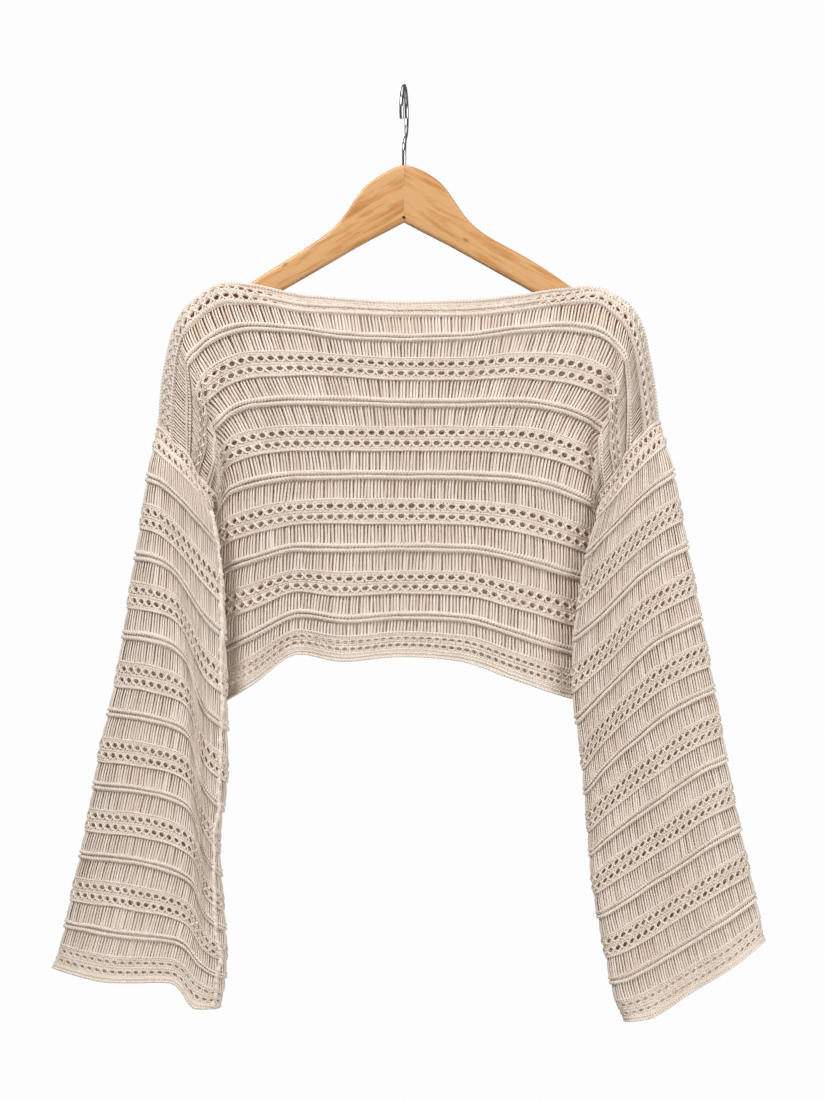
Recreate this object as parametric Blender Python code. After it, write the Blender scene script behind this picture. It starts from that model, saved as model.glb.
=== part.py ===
# A cropped openwork sweater hanging on a wooden hanger.
# X runs across the sweater, -Y is its front and +Z is up.
# The origin is the inside top of the hook, where it rests on a rail.
# Sizes are in millimetres until the points are handed to Blender.

import math

import bpy
import numpy as np

for old in list(bpy.data.objects):
    bpy.data.objects.remove(old, do_unlink=True)

MM = 0.001
SEAM_GAP = 0.3
CORNER_GAP = 1.2
CORNER_WALL = 0.5
CORNER_REACH = 36.0
WALL = 1.6
RIDGE_HEIGHT = 1.2
RIDGE_HALF = 4.5
REPEAT = 63.0

# Knit rows of the body, measured down from the neck edge
NECK_TRIM = 18.0
FIRST_BODY_RIDGE = 38.5
BODY_LENGTH = 331.0
ARMHOLE = 133.0

# Knit rows of a sleeve, measured down from the armhole seam
FIRST_SLEEVE_RIDGE = 42.5
SLEEVE_LENGTH = 465.0
UNDERARM_WRAP = 0.2

# Body columns from the left armhole to the right one. The outer three on
# each side lie past the neck corner, on the shoulder and down its cap.
COLUMN_AT = (-314, -257, -207, -157, -136, -93, -53, -1, 50, 99, 146, 168, 216, 265, 317)

# Each row of the body: name, distance down the knit, then height z at the nine
# columns between the neck corners
FRONT_HEIGHTS = (
    ("neck edge", 0.0, (-175.4, -177, -186, -190, -193, -192, -187, -181, -179.4)),
    ("trim foot", 18.0, (-196, -196, -203, -205, -207, -207, -203, -196, -195)),
    ("ridge one", 38.5, (-219, -216, -219, -224, -226, -225, -219, -216, -218)),
    ("eyelets two", 70.0, (-256, -250, -249, -251, -254, -254, -251, -254, -260)),
    ("eyelets three", 133.0, (-328, -320, -316, -316, -316, -316, -317, -327, -338)),
    ("eyelets four", 196.0, (-397, -390, -382, -381, -381, -382, -387, -400, -408)),
    ("eyelets five", 259.0, (-465, -457, -443, -446, -444, -445, -456, -470, -477)),
    ("hem", 331.0, (-550, -537, -509, -515, -511, -515, -532, -548, -554)),
)

# How far the front stands forward of the hanger's middle at the same columns,
# and the back behind it
FRONT_DEPTHS = (
    ("neck edge", 0.0, (0.0, 9.7, 10, 9.7, 9.5, 9.7, 10, 9.7, 0.0)),
    ("trim foot", 18.0, (13, 15, 17, 17.5, 18, 17.5, 17, 15, 13)),
    ("ridge one", 38.5, (16, 18.5, 21, 21.5, 21.5, 21.5, 21, 18.5, 16)),
    ("eyelets two", 70.0, (16, 20, 23, 23, 23, 23, 23, 20, 16)),
    ("eyelets three", 133.0, (13, 19, 25, 24, 24, 24, 25, 19, 13)),
    ("eyelets four", 196.0, (7, 18, 26, 25, 25, 24, 25, 14, 6)),
    ("eyelets five", 259.0, (6, 17, 22, 28, 25, 23, 25, 10, 5)),
    ("hem", 331.0, (6, 16, 19, 32, 24, 22, 25, 10, 5)),
)

# The shoulder caps of the front: name, distance down the knit, then (x, y, z) at
# the armhole or side seam, halfway, and near the hanger's tip
LEFT_CAP = (
    ("neck edge", 0.0, (-221, 0, -305), (-215, 0, -249), (-199, 0, -203)),
    ("trim foot", 18.0, (-207, -14, -318), (-205, -15, -268), (-199, -14, -230)),
    ("ridge one", 38.5, (-192, -22, -331), (-191, -25, -287), (-192, -23, -250)),
    ("eyelets two", 70.0, (-187, -20, -345), (-179, -30, -311), (-180, -30, -284)),
    ("eyelets three", 133.0, (-183, 2, -366), (-176, -1, -362), (-168, -8, -346)),
    ("eyelets four", 196.0, (-183, 9, -412), (-176, 3, -409), (-167, -2, -404)),
    ("eyelets five", 259.0, (-184, 9, -480), (-176, 4, -476), (-167, -1, -470)),
    ("hem", 331.0, (-183, 9, -565), (-175, 4, -561), (-166, -1, -556)),
)
RIGHT_CAP = (
    ("neck edge", 0.0, (229, 0, -300), (222, 0, -249), (208, 0, -203)),
    ("trim foot", 18.0, (214, -14, -311), (210, -15, -268), (203, -14, -228)),
    ("ridge one", 38.5, (200, -22, -326), (200, -25, -280), (196, -23, -244)),
    ("eyelets two", 70.0, (191, -22, -343), (187, -30, -309), (187, -30, -281)),
    ("eyelets three", 133.0, (187, 2, -368), (181, -1, -364), (175, -8, -350)),
    ("eyelets four", 196.0, (188, 9, -417), (182, 3, -414), (176, -1, -411)),
    ("eyelets five", 259.0, (188, 9, -485), (182, 4, -482), (176, 0, -479)),
    ("hem", 331.0, (188, 9, -563), (182, 4, -560), (176, 0, -557)),
)

# The back's caps lie flatter, behind the sleeves
LEFT_BACK_CAP = (
    ("neck edge", 0.0, (-221, 0, -305), (-215, 0, -249), (-199, 0, -203)),
    ("trim foot", 18.0, (-214, 12, -313), (-206, 14, -262), (-195, 14, -222)),
    ("ridge one", 38.5, (-207, 16, -324), (-198, 19, -280), (-186, 19, -242)),
    ("eyelets two", 70.0, (-199, 17, -338), (-190, 21, -303), (-179, 21, -275)),
    ("eyelets three", 133.0, (-183, 2, -366), (-182, 12, -359), (-176, 19, -344)),
    ("eyelets four", 196.0, (-183, 9, -412), (-180, 16, -408), (-173, 20, -403)),
    ("eyelets five", 259.0, (-184, 9, -480), (-180, 16, -476), (-173, 20, -471)),
    ("hem", 331.0, (-183, 9, -565), (-179, 16, -561), (-172, 20, -555)),
)
RIGHT_BACK_CAP = (
    ("neck edge", 0.0, (229, 0, -300), (222, 0, -249), (208, 0, -203)),
    ("trim foot", 18.0, (222, 12, -308), (213, 14, -260), (202, 14, -220)),
    ("ridge one", 38.5, (214, 16, -319), (205, 19, -276), (193, 19, -240)),
    ("eyelets two", 70.0, (205, 17, -334), (196, 21, -301), (185, 21, -273)),
    ("eyelets three", 133.0, (187, 2, -368), (187, 12, -360), (181, 19, -347)),
    ("eyelets four", 196.0, (188, 9, -417), (185, 16, -412), (179, 20, -409)),
    ("eyelets five", 259.0, (188, 9, -485), (185, 16, -481), (180, 20, -478)),
    ("hem", 331.0, (188, 9, -563), (185, 16, -559), (179, 20, -556)),
)

# Sleeve rings: name, distance down the sleeve, then (x, z) along the flattened
# ring from its outer fold to its inner one
LEFT_SLEEVE = (
    ("upper arm", 30.0, (-226, -337), (-214, -344), (-199, -357), (-180, -377), (-168, -394)),
    ("eyelets A", 74.0, (-233, -385), (-221, -388), (-207, -398), (-177, -433), (-161, -451)),
    ("eyelets B", 137.0, (-244, -455), (-223, -458), (-201, -469), (-177, -514), (-158, -532)),
    ("eyelets C", 200.0, (-255, -525), (-225, -529), (-192, -544), (-177, -592), (-155, -611)),
    ("eyelets E", 326.0, (-280, -655), (-235, -658), (-189, -676), (-173, -714), (-157, -728)),
    ("eyelets F", 389.0, (-294, -716), (-246, -721), (-195, -735), (-176, -762), (-158, -773)),
    ("eyelets G", 452.0, (-308, -776), (-260, -785), (-207, -788), (-183, -808), (-162, -814)),
    ("cuff edge", 465.0, (-312, -787), (-261, -797), (-208, -799), (-184, -822), (-164, -822)),
)
RIGHT_SLEEVE = (
    ("upper arm", 30.0, (237, -333), (221, -345), (205, -360), (185, -382), (167, -403)),
    ("eyelets A", 74.0, (246, -378), (227, -389), (206, -406), (180, -431), (156, -456)),
    ("eyelets B", 137.0, (258, -443), (237, -454), (212, -470), (180, -504), (150, -530)),
    ("eyelets C", 200.0, (270, -507), (246, -517), (219, -534), (178, -574), (156, -601)),
    ("eyelets E", 326.0, (292, -630), (266, -642), (234, -665), (182, -699), (162, -712)),
    ("eyelets F", 389.0, (305, -692), (274, -709), (244, -729), (196, -759), (174, -768)),
    ("eyelets G", 452.0, (318, -752), (286, -775), (254, -795), (212, -819), (188, -825)),
    ("cuff edge", 465.0, (320, -763), (289, -785), (256, -806), (214, -831), (194, -834)),
)

# Sleeve folds: name, distance down, middle y, half thickness, then how far the
# front and the back layer are pushed back at the three inner stations
LEFT_FOLDS = (
    ("upper arm", 30.0, -23, 11.5, (0, 0, 0), (0, 0, 0)),
    ("eyelets A", 74.0, -24, 11, (0, 3, 0), (0, 0, 0)),
    ("eyelets B", 137.0, -25, 12, (-1, 4, -1), (0, 2, 0)),
    ("eyelets C", 200.0, -26, 13, (-2, 5, -1), (-1, 2, 0)),
    ("eyelets E", 326.0, -26, 14, (-3, 4, 0), (-2, 2, 0)),
    ("eyelets F", 389.0, -26, 15, (-3, 5, 0), (-2, 2, 0)),
    ("eyelets G", 452.0, -26, 17, (-4, 6, 1), (-2, 3, 0)),
    ("cuff edge", 465.0, -26, 17, (-4, 6, 1), (-2, 3, 0)),
)
RIGHT_FOLDS = (
    ("upper arm", 30.0, -23, 11.5, (0, 0, 0), (0, 0, 0)),
    ("eyelets A", 74.0, -24, 11, (0, 1, 0), (0, 0, 0)),
    ("eyelets B", 137.0, -25, 12, (0, 2, 2), (0, 1, 0)),
    ("eyelets C", 200.0, -26, 13, (-1, 3, 4), (0, 1, 1)),
    ("eyelets E", 326.0, -26, 14, (-2, 3, 6), (-1, 1, 2)),
    ("eyelets F", 389.0, -26, 15, (-2, 3, 5), (-1, 1, 2)),
    ("eyelets G", 452.0, -26, 17, (-3, 2, 4), (-1, 1, 2)),
    ("cuff edge", 465.0, -26, 17, (-3, 2, 4), (-1, 1, 2)),
)

# Hanger arms: distance from the middle joint, top z, underside z
LEFT_ARM = (
    (0, -69.0, -121.0),
    (6, -69.5, -124.0),
    (16, -74.5, -129.5),
    (27, -81.0, -135.0),
    (37, -89.0, -140.5),
    (46, -102.0, -145.5),
    (57, -119.5, -152.0),
    (74, -135.0, -162.0),
    (100, -150.5, -177.0),
    (126, -166.0, -192.0),
    (140, -177.0, -198.0),
    (150, -179.8, -203.0),
    (160, -181.4, -207.5),
    (180, -190.6, -216.0),
    (190, -198.2, -219.5),
    (196, -206.0, -219.0),
)
RIGHT_ARM = (
    (0, -69.0, -121.0),
    (5, -69.5, -123.5),
    (14, -72.5, -128.5),
    (25, -78.5, -134.0),
    (36, -87.0, -139.5),
    (46, -102.0, -145.0),
    (57, -119.0, -151.0),
    (74, -133.5, -160.5),
    (100, -146.0, -175.0),
    (134, -166.5, -194.0),
    (150, -179.4, -201.0),
    (160, -183.0, -206.0),
    (170, -185.2, -210.5),
    (189, -192.0, -218.0),
    (199, -199.6, -221.5),
    (205, -208.0, -220.0),
)
ARM_HALF_THICK = 6.5

HOOK_WIRE = 2.0
HOOK_LOOP = 23.5
HOOK_TURN = math.radians(9.0)


# Smooth curve through rows of values

def slopes(at, values):
    """Slopes at each row that never let the curve swing past its neighbours."""
    steps = np.diff(at).reshape(-1, *([1] * (values.ndim - 1)))
    rises = np.diff(values, axis=0) / steps
    before, after = rises[:-1], rises[1:]
    middle = (before * steps[1:] + after * steps[:-1]) / (steps[1:] + steps[:-1])
    most = 2 * np.minimum(np.abs(before), np.abs(after))
    limited = np.sign(middle) * np.minimum(np.abs(middle), most)
    limited = np.where(before * after > 0, limited, 0.0)
    return np.concatenate([rises[:1], limited, rises[-1:]])


def curve(at, values, where):
    """The value at a distance along a smooth curve through the rows."""
    at = np.asarray(at, float)
    values = np.asarray(values, float)
    tangents = slopes(at, values)
    i = int(np.clip(np.searchsorted(at, where) - 1, 0, len(at) - 2))
    step = at[i + 1] - at[i]
    t = (where - at[i]) / step
    return (
        values[i] * (2 * t**3 - 3 * t**2 + 1)
        + tangents[i] * step * (t**3 - 2 * t**2 + t)
        + values[i + 1] * (3 * t**2 - 2 * t**3)
        + tangents[i + 1] * step * (t**3 - t**2)
    )


def unit(vectors):
    lengths = np.linalg.norm(vectors, axis=-1, keepdims=True)
    return vectors / np.maximum(lengths, 1e-9)


# Body panels

def panel_rows(left_cap, right_cap, side):
    """Each table row of a panel as points across all of its columns."""
    middle_x = COLUMN_AT[3:12]
    rows = []
    for heights, depths, left, right in zip(FRONT_HEIGHTS, FRONT_DEPTHS, left_cap, right_cap):
        points = [left[2], left[3], left[4]]
        points += [(x, side * d, z) for x, d, z in zip(middle_x, depths[2], heights[2])]
        points += [right[4], right[3], right[2]]
        rows.append(points)
    return np.array(rows, float)


def shoulder_turn(point_at_trim, top, down):
    """A point on the rounded turn over the hanger's arm, near the shoulder seam."""
    t = down / NECK_TRIM
    out = math.sin(t * math.pi / 2)
    drop = 1 - math.cos(t * math.pi / 2)
    point = top + (point_at_trim - top) * t
    point[1] = top[1] + (point_at_trim[1] - top[1]) * out
    point[2] = top[2] + (point_at_trim[2] - top[2]) * drop
    return point


def panel_point(rows, across, down):
    """A point of the panel's middle surface, by knit column and knit row."""
    at = [row[1] for row in FRONT_HEIGHTS]
    lines = [curve(COLUMN_AT, line, across) for line in rows]
    point = curve(at, lines, down)
    past_corner = min(abs(across - COLUMN_AT[3]), abs(across - COLUMN_AT[11]))
    on_shoulder = across < COLUMN_AT[3] or across > COLUMN_AT[11]
    if down < NECK_TRIM and (on_shoulder or past_corner < 22):
        weight = 1.0 if on_shoulder else 1 - past_corner / 22
        turned = shoulder_turn(lines[1], lines[0].copy(), down)
        point = point + (turned - point) * weight
    return point


def panel_normal(rows, side, across, down):
    """The panel's outward direction at an edge point, from steps into the panel."""
    inward = 3.0 if across < 0 else -3.0
    step = 3.0 if down < BODY_LENGTH - 3 else -3.0
    point = panel_point(rows, across, down)
    right = (panel_point(rows, across + inward, down) - point) * math.copysign(1, inward)
    below = (panel_point(rows, across, down + step) - point) * math.copysign(1, step)
    return unit(np.cross(right, below)) * side


def sheet_normals(grid, closed, side):
    """Outward directions over a grid of points."""
    below = np.gradient(grid, axis=0)
    if closed:
        across = np.roll(grid, -1, axis=1) - np.roll(grid, 1, axis=1)
    else:
        across = np.gradient(grid, axis=1)
    return unit(np.cross(across, below)) * side


def ridge_rise(down, first, length):
    """How far the knit stands up at a row: a ridge between each pair of eyelet bands."""
    rise = 0.0
    at = first
    while at < length:
        rise = max(rise, RIDGE_HEIGHT * (1 - abs(down - at) / RIDGE_HALF))
        at += REPEAT
    return rise


def ridge_lines(first, length, after):
    """Rows at each ridge's feet and crown and beside each band, past a given row."""
    lines = []
    at = first
    while at < length - RIDGE_HALF:
        lines += [at - RIDGE_HALF, at, at + RIDGE_HALF, at + REPEAT / 2 - 8, at + REPEAT / 2 + 8]
        at += REPEAT
    return [line for line in lines if after < line < length - 3]


# Seams. Each is a line of points with the outward direction that the pieces
# on both sides share, and the direction across the seam from one to the other.

def mixed(line, at, where):
    """Values at a distance along a seam, straight between its stations."""
    return np.array([np.interp(where, at, line[:, axis]) for axis in range(3)])


class Seam:
    """The line between two pieces: part -1 comes before it and part 1 past it."""

    def __init__(self, at, points, normals, across):
        self.at = at
        self.points = np.array(points, float)
        self.normals = unit(np.array(normals, float))
        run = np.gradient(self.points, axis=0)
        cross = unit(np.cross(run, self.normals))
        turned = np.sum(cross * across, axis=1, keepdims=True) < 0
        self.across = np.where(turned, -cross, cross)
        self.own_ways = {}
        self.own_normals = {}

    def corner(self, where):
        """1 at the underarm, where three pieces meet, falling to 0 a little way off."""
        return max(0.0, 1 - abs(where - ARMHOLE) / CORNER_REACH) if self.own_ways else 0.0

    def point(self, where, part):
        """A point of one piece's edge, drawn back into the piece near the underarm."""
        way = unit(mixed(self.across, self.at, where)) * part
        share = self.corner(where)
        if share:
            way = unit(way * (1 - share) + mixed(self.own_ways[part], self.at, where) * share)
        back = SEAM_GAP / 2 * (1 - share) + CORNER_GAP * share
        return mixed(self.points, self.at, where) + way * back

    def normal(self, where, part):
        """The wall's direction at the seam, and how much of its thickness is left."""
        shared = mixed(self.normals, self.at, where)
        share = self.corner(where)
        if not share:
            return shared
        own = mixed(self.own_normals[part], self.at, where)
        blend = min(1.0, share * 2.5)
        return unit(shared * (1 - blend) + own * blend) * (1 - (1 - CORNER_WALL) * share)

    def set_corner(self, number, normal):
        """Gives one end the outward direction that the three pieces there share."""
        self.normals[number] = normal


def shoulder_seam(columns):
    points = [panel_point(front_rows, u, 0.0) for u in columns]
    normals = []
    for u in columns:
        both = panel_normal(front_rows, -1, u, 0.0) + panel_normal(back_rows, 1, u, 0.0)
        both[1] = 0.0
        normals.append(unit(both))
    return Seam(columns, points, normals, (0, 1, 0))


def side_seam(column):
    downs = [v for v in body_outer if v >= ARMHOLE]
    points = [panel_point(front_rows, column, v) for v in downs]
    normals = []
    for v in downs:
        both = panel_normal(front_rows, -1, column, v) + panel_normal(back_rows, 1, column, v)
        normals.append(unit(both))
    return Seam(downs, points, normals, (0, 1, 0))


def armhole_seam(rows, side, column, sleeve_normals, away):
    """One panel's half of an armhole, shared with its sleeve."""
    inside = 3.0 if column < 0 else -3.0
    points = np.array([panel_point(rows, column, v) for v in ARMHOLE_AT])
    further = np.array([panel_point(rows, column + inside, v) for v in ARMHOLE_AT])
    panel_normals = np.array([panel_normal(rows, side, column, v) for v in ARMHOLE_AT])
    seam = Seam(ARMHOLE_AT, points, panel_normals + sleeve_normals, away)
    seam.own_ways = {-1: unit(further - points), 1: away}
    seam.own_normals = {-1: panel_normals, 1: sleeve_normals}
    return seam


# Closed walls

def zipped(first, second, first_at, second_at, flip):
    """Triangles between two chains of point numbers that run side by side."""
    faces = []
    i = j = 0
    while i < len(first) - 1 or j < len(second) - 1:
        step_first = j == len(second) - 1 or (
            i < len(first) - 1 and first_at[i + 1] <= second_at[j + 1]
        )
        if step_first:
            face = (first[i], first[i + 1], second[j])
            i += 1
        else:
            face = (first[i], second[j + 1], second[j])
            j += 1
        faces.append(face[::-1] if flip else face)
    return faces


def grid_faces(rows, columns, start, closed, flip):
    faces = []
    for r in range(rows - 1):
        for c in range(columns if closed else columns - 1):
            n = (c + 1) % columns
            a, b = start + r * columns + c, start + r * columns + n
            quad = (a, b, b + columns, a + columns)
            faces.append(quad[::-1] if flip else quad)
    return faces


def add_object(name, points, faces, material, collection):
    mesh = bpy.data.meshes.new(name)
    mesh.from_pydata([tuple(p * MM) for p in points], [], faces)
    mesh.update()
    mesh.materials.append(material)
    obj = bpy.data.objects.new(name, mesh)
    collection.objects.link(obj)
    return obj


def wall(outer, inner, outer_at, inner_at, closed):
    """Points and faces of a closed wall between an outer and an inner grid."""
    rows_out, columns = outer.shape[:2]
    rows_in = inner.shape[0]
    points = np.concatenate([outer.reshape(-1, 3), inner.reshape(-1, 3)])
    start = rows_out * columns
    faces = grid_faces(rows_out, columns, 0, closed, False)
    faces += grid_faces(rows_in, columns, start, closed, True)
    count = columns if closed else columns - 1
    last_out, last_in = (rows_out - 1) * columns, start + (rows_in - 1) * columns
    for c in range(count):
        n = (c + 1) % columns
        faces.append((n, c, start + c, start + n))
        faces.append((last_out + c, last_out + n, last_in + n, last_in + c))
    if not closed:
        for c, flip in ((0, False), (columns - 1, True)):
            first = [r * columns + c for r in range(rows_out)]
            second = [start + r * columns + c for r in range(rows_in)]
            faces += zipped(first, second, outer_at, inner_at, flip)
    return points, faces


def make_wall(name, surface, outer_at, inner_at, rise, closed, side, look, collection):
    """A named wall: its outer points carry the ridges and its inner ones are plain."""
    outer_grid, outer_normals = surface(outer_at)
    inner_grid, inner_normals = surface(inner_at)
    lift = np.array([WALL / 2 + rise(v) for v in outer_at]).reshape(-1, 1, 1)
    outer = outer_grid + outer_normals * lift
    inner = inner_grid - inner_normals * WALL / 2
    points, faces = wall(outer, inner, outer_at, inner_at, closed)
    if side < 0:
        faces = [face[::-1] for face in faces]
    return add_object(name, points, faces, look, collection)


# Hanger arms: rounded sections lofted out from the middle joint

def arm_section(top, bottom, half):
    """A rounded section, as (y, z) points, going round once."""
    shape = ((0.0, 1.0), (0.62, 0.93), (0.93, 0.78), (1.0, 0.5), (1.0, -0.55), (0.85, -0.86), (0.5, -1.0))
    middle, reach = (top + bottom) / 2, (top - bottom) / 2
    corner = min(1.0, 11.0 / reach)
    ring = []
    for side, height in shape:
        lift = height if abs(height) > 0.99 else math.copysign(1 - (1 - abs(height)) * corner, height)
        ring.append((side * half, middle + lift * reach))
    mirrored = [(-y, z) for y, z in reversed(ring[1:])]
    return ring + mirrored


def make_arm(name, table, direction, look, collection):
    points, faces = [], []
    for number, (out, top, bottom) in enumerate(table):
        half = ARM_HALF_THICK if number < len(table) - 1 else 4.0
        x = direction * max(out, SEAM_GAP / 2)
        points += [np.array((x, y, z)) for y, z in arm_section(top, bottom, half)]
    around = len(points) // len(table)
    for s in range(len(table) - 1):
        for k in range(around):
            n = (k + 1) % around
            quad = (s * around + k, s * around + n, (s + 1) * around + n, (s + 1) * around + k)
            faces.append(quad if direction < 0 else quad[::-1])
    first = tuple(range(around))
    last = tuple((len(table) - 1) * around + k for k in range(around))
    faces.append(first[::-1] if direction < 0 else first)
    faces.append(last if direction < 0 else last[::-1])
    return add_object(name, points, faces, look, collection)


def hook_path():
    """The wire's middle line, from the wood up and over the rail."""
    turn_y, turn_x = -math.cos(HOOK_TURN), -math.sin(HOOK_TURN)
    middle_z = 2.0 - HOOK_LOOP
    path = [(0, 0, LEFT_ARM[0][1] + SEAM_GAP), (0, 0, -58), (0, 0, -52)]
    for degrees in range(-70, 196, 15):
        angle = math.radians(degrees)
        reach = -HOOK_LOOP * math.cos(angle)
        path.append((reach * turn_x, reach * turn_y, middle_z + HOOK_LOOP * math.sin(angle)))
    return path


def make_hook(look, collection):
    line = bpy.data.curves.new("hook", "CURVE")
    line.dimensions = "3D"
    line.bevel_depth = HOOK_WIRE * MM
    line.bevel_resolution = 2
    line.use_fill_caps = True
    spline = line.splines.new("POLY")
    path = hook_path()
    spline.points.add(len(path) - 1)
    for point, place in zip(spline.points, path):
        point.co = (place[0] * MM, place[1] * MM, place[2] * MM, 1.0)
    line.materials.append(look)
    obj = bpy.data.objects.new("hook", line)
    collection.objects.link(obj)
    return obj


# Materials

def material(name, colour, roughness, metallic):
    look = bpy.data.materials.new(name)
    look.use_nodes = True
    shader = look.node_tree.nodes["Principled BSDF"]
    shader.inputs["Base Color"].default_value = (*colour, 1.0)
    shader.inputs["Roughness"].default_value = roughness
    shader.inputs["Metallic"].default_value = metallic
    look.diffuse_color = (*colour, 1.0)
    return look


# Sleeves

def ring_points(row, fold):
    """One sleeve ring: points round its flattened loop, spaced as the armhole's rows are."""
    stations = np.array(row[2:], float)
    middle, half = fold[2], fold[3]
    front_push, back_push = (0.0, *fold[4], 0.0), (0.0, *fold[5], 0.0)
    along = []
    for k in range(240):
        angle = 2 * math.pi * k / 240
        station = 2 - 2 * math.cos(angle)
        x, z = curve(range(5), stations, station)
        round_off = math.copysign(abs(math.sin(angle)) ** 0.7, math.sin(angle))
        push = float(curve(range(5), front_push if angle < math.pi else back_push, station))
        along.append((x, middle - half * round_off + push, z))
    loop = np.array(along + along[:1])
    run = np.concatenate([[0.0], np.cumsum(np.linalg.norm(np.diff(loop, axis=0), axis=1))])
    share = np.array(ARMHOLE_AT) / ARMHOLE
    underarm = run[120] + UNDERARM_WRAP * run[-1]
    front = underarm * share[:-1]
    back = run[-1] - (run[-1] - underarm) * share[:0:-1]
    where = np.concatenate([front, back])
    return np.stack([np.interp(where, run, loop[:, axis]) for axis in range(3)], axis=1)


def sleeve_rings(table, folds, column):
    """The distances and rings of a sleeve, the first along the armhole."""
    front = [panel_point(front_rows, column, v) for v in ARMHOLE_AT]
    back = [panel_point(back_rows, column, v) for v in ARMHOLE_AT]
    rings = [np.array(front + back[-2:0:-1])]
    rings += [ring_points(row, fold) for row, fold in zip(table, folds)]
    return [0.0] + [row[1] for row in table], np.array(rings)


def sleeve_surface(at, rings, side, front_seam, back_seam):
    """A function that gives a sleeve's middle surface and directions at its rows."""
    back_at = ARMHOLE_AT[-2:0:-1]
    first = [front_seam.point(v, 1) for v in ARMHOLE_AT] + [back_seam.point(v, 1) for v in back_at]
    first_normals = [front_seam.normal(v, 1) for v in ARMHOLE_AT]
    first_normals += [back_seam.normal(v, 1) for v in back_at]

    def surface(downs):
        grid = np.array([curve(at, rings, v) for v in downs])
        normals = sheet_normals(grid, True, side)
        corner = len(ARMHOLE_AT) - 1
        normals[1, corner - 2:corner + 3] *= CORNER_WALL
        grid[0] = first
        normals[0] = first_normals
        return grid, normals

    return surface


def panel_surface(rows, side, seams):
    """A function that gives a panel's middle surface and directions at its rows."""
    shoulders, armholes, sides = seams

    def surface(downs):
        grid = np.array([[panel_point(rows, u, v) for u in body_columns] for v in downs])
        normals = sheet_normals(grid, False, side)
        for edge, armhole, side_line in zip((0, -1), armholes, sides):
            for number, v in enumerate(downs):
                if v <= ARMHOLE:
                    grid[number, edge] = armhole.point(v, -1)
                    normals[number, edge] = armhole.normal(v, -1)
                else:
                    grid[number, edge] = side_line.point(v, side)
                    normals[number, edge] = side_line.normal(v, side)
        for number, u in enumerate(body_columns):
            for seam in shoulders:
                if seam.at[0] - 0.01 <= u <= seam.at[-1] + 0.01:
                    pulled = seam.point(u, side)
                    if number in (0, len(body_columns) - 1):
                        pulled = pulled + grid[0, number] - seam.points[0 if number == 0 else -1]
                    grid[0, number] = pulled
                    normals[0, number] = seam.normal(u, side)
        return grid, normals

    return surface


front_rows = panel_rows(LEFT_CAP, RIGHT_CAP, -1)
back_rows = panel_rows(LEFT_BACK_CAP, RIGHT_BACK_CAP, 1)

SIDE_COLUMNS = 8
MIDDLE_COLUMNS = 15
NECK_STEP = 10.0
body_columns = np.concatenate([
    np.linspace(COLUMN_AT[0], COLUMN_AT[3], SIDE_COLUMNS)[:-1],
    (COLUMN_AT[3], COLUMN_AT[3] + NECK_STEP),
    np.linspace(COLUMN_AT[4], COLUMN_AT[10] + 1, MIDDLE_COLUMNS),
    (COLUMN_AT[11] - NECK_STEP,),
    np.linspace(COLUMN_AT[11], COLUMN_AT[14], SIDE_COLUMNS),
])
# Rows of points: the armhole's rows are shared with the sleeves' first rings
ARMHOLE_AT = [0.0, 6.0, 12.0, NECK_TRIM, 26.0, 34.0, 38.5, 43.0, 52.0, 61.0, 70.0, 79.0, 88.0, 97.0,
              101.5, 106.0, 115.0, 124.0, ARMHOLE]
AROUND = 2 * (len(ARMHOLE_AT) - 1)
body_outer = ARMHOLE_AT + [146.0] + ridge_lines(FIRST_BODY_RIDGE, BODY_LENGTH, 150.0) + [BODY_LENGTH]
body_inner = [v for v in body_outer if v <= ARMHOLE or ridge_rise(v, FIRST_BODY_RIDGE, BODY_LENGTH) == 0]
sleeve_outer = [0.0, 10.0, 22.0] + ridge_lines(FIRST_SLEEVE_RIDGE, SLEEVE_LENGTH, 30.0) + [SLEEVE_LENGTH]
sleeve_inner = [0.0, 10.0, 22.0, 38.0, 60.0, 90.0, 125.0, 165.0, 205.0, 250.0, 300.0, 350.0, 400.0,
                440.0, SLEEVE_LENGTH]

garment = bpy.data.collections.new("cropped_sweater_on_hanger")
bpy.context.scene.collection.children.link(garment)
cotton = material("cotton_yarn", (0.62, 0.51, 0.40), 0.85, 0.0)
wood = material("beech_wood", (0.70, 0.45, 0.24), 0.42, 0.0)
steel = material("polished_steel", (0.72, 0.73, 0.75), 0.18, 1.0)


def body_rise(down):
    return ridge_rise(down, FIRST_BODY_RIDGE, BODY_LENGTH)


def sleeve_rise(down):
    return ridge_rise(down, FIRST_SLEEVE_RIDGE, SLEEVE_LENGTH)


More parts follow.
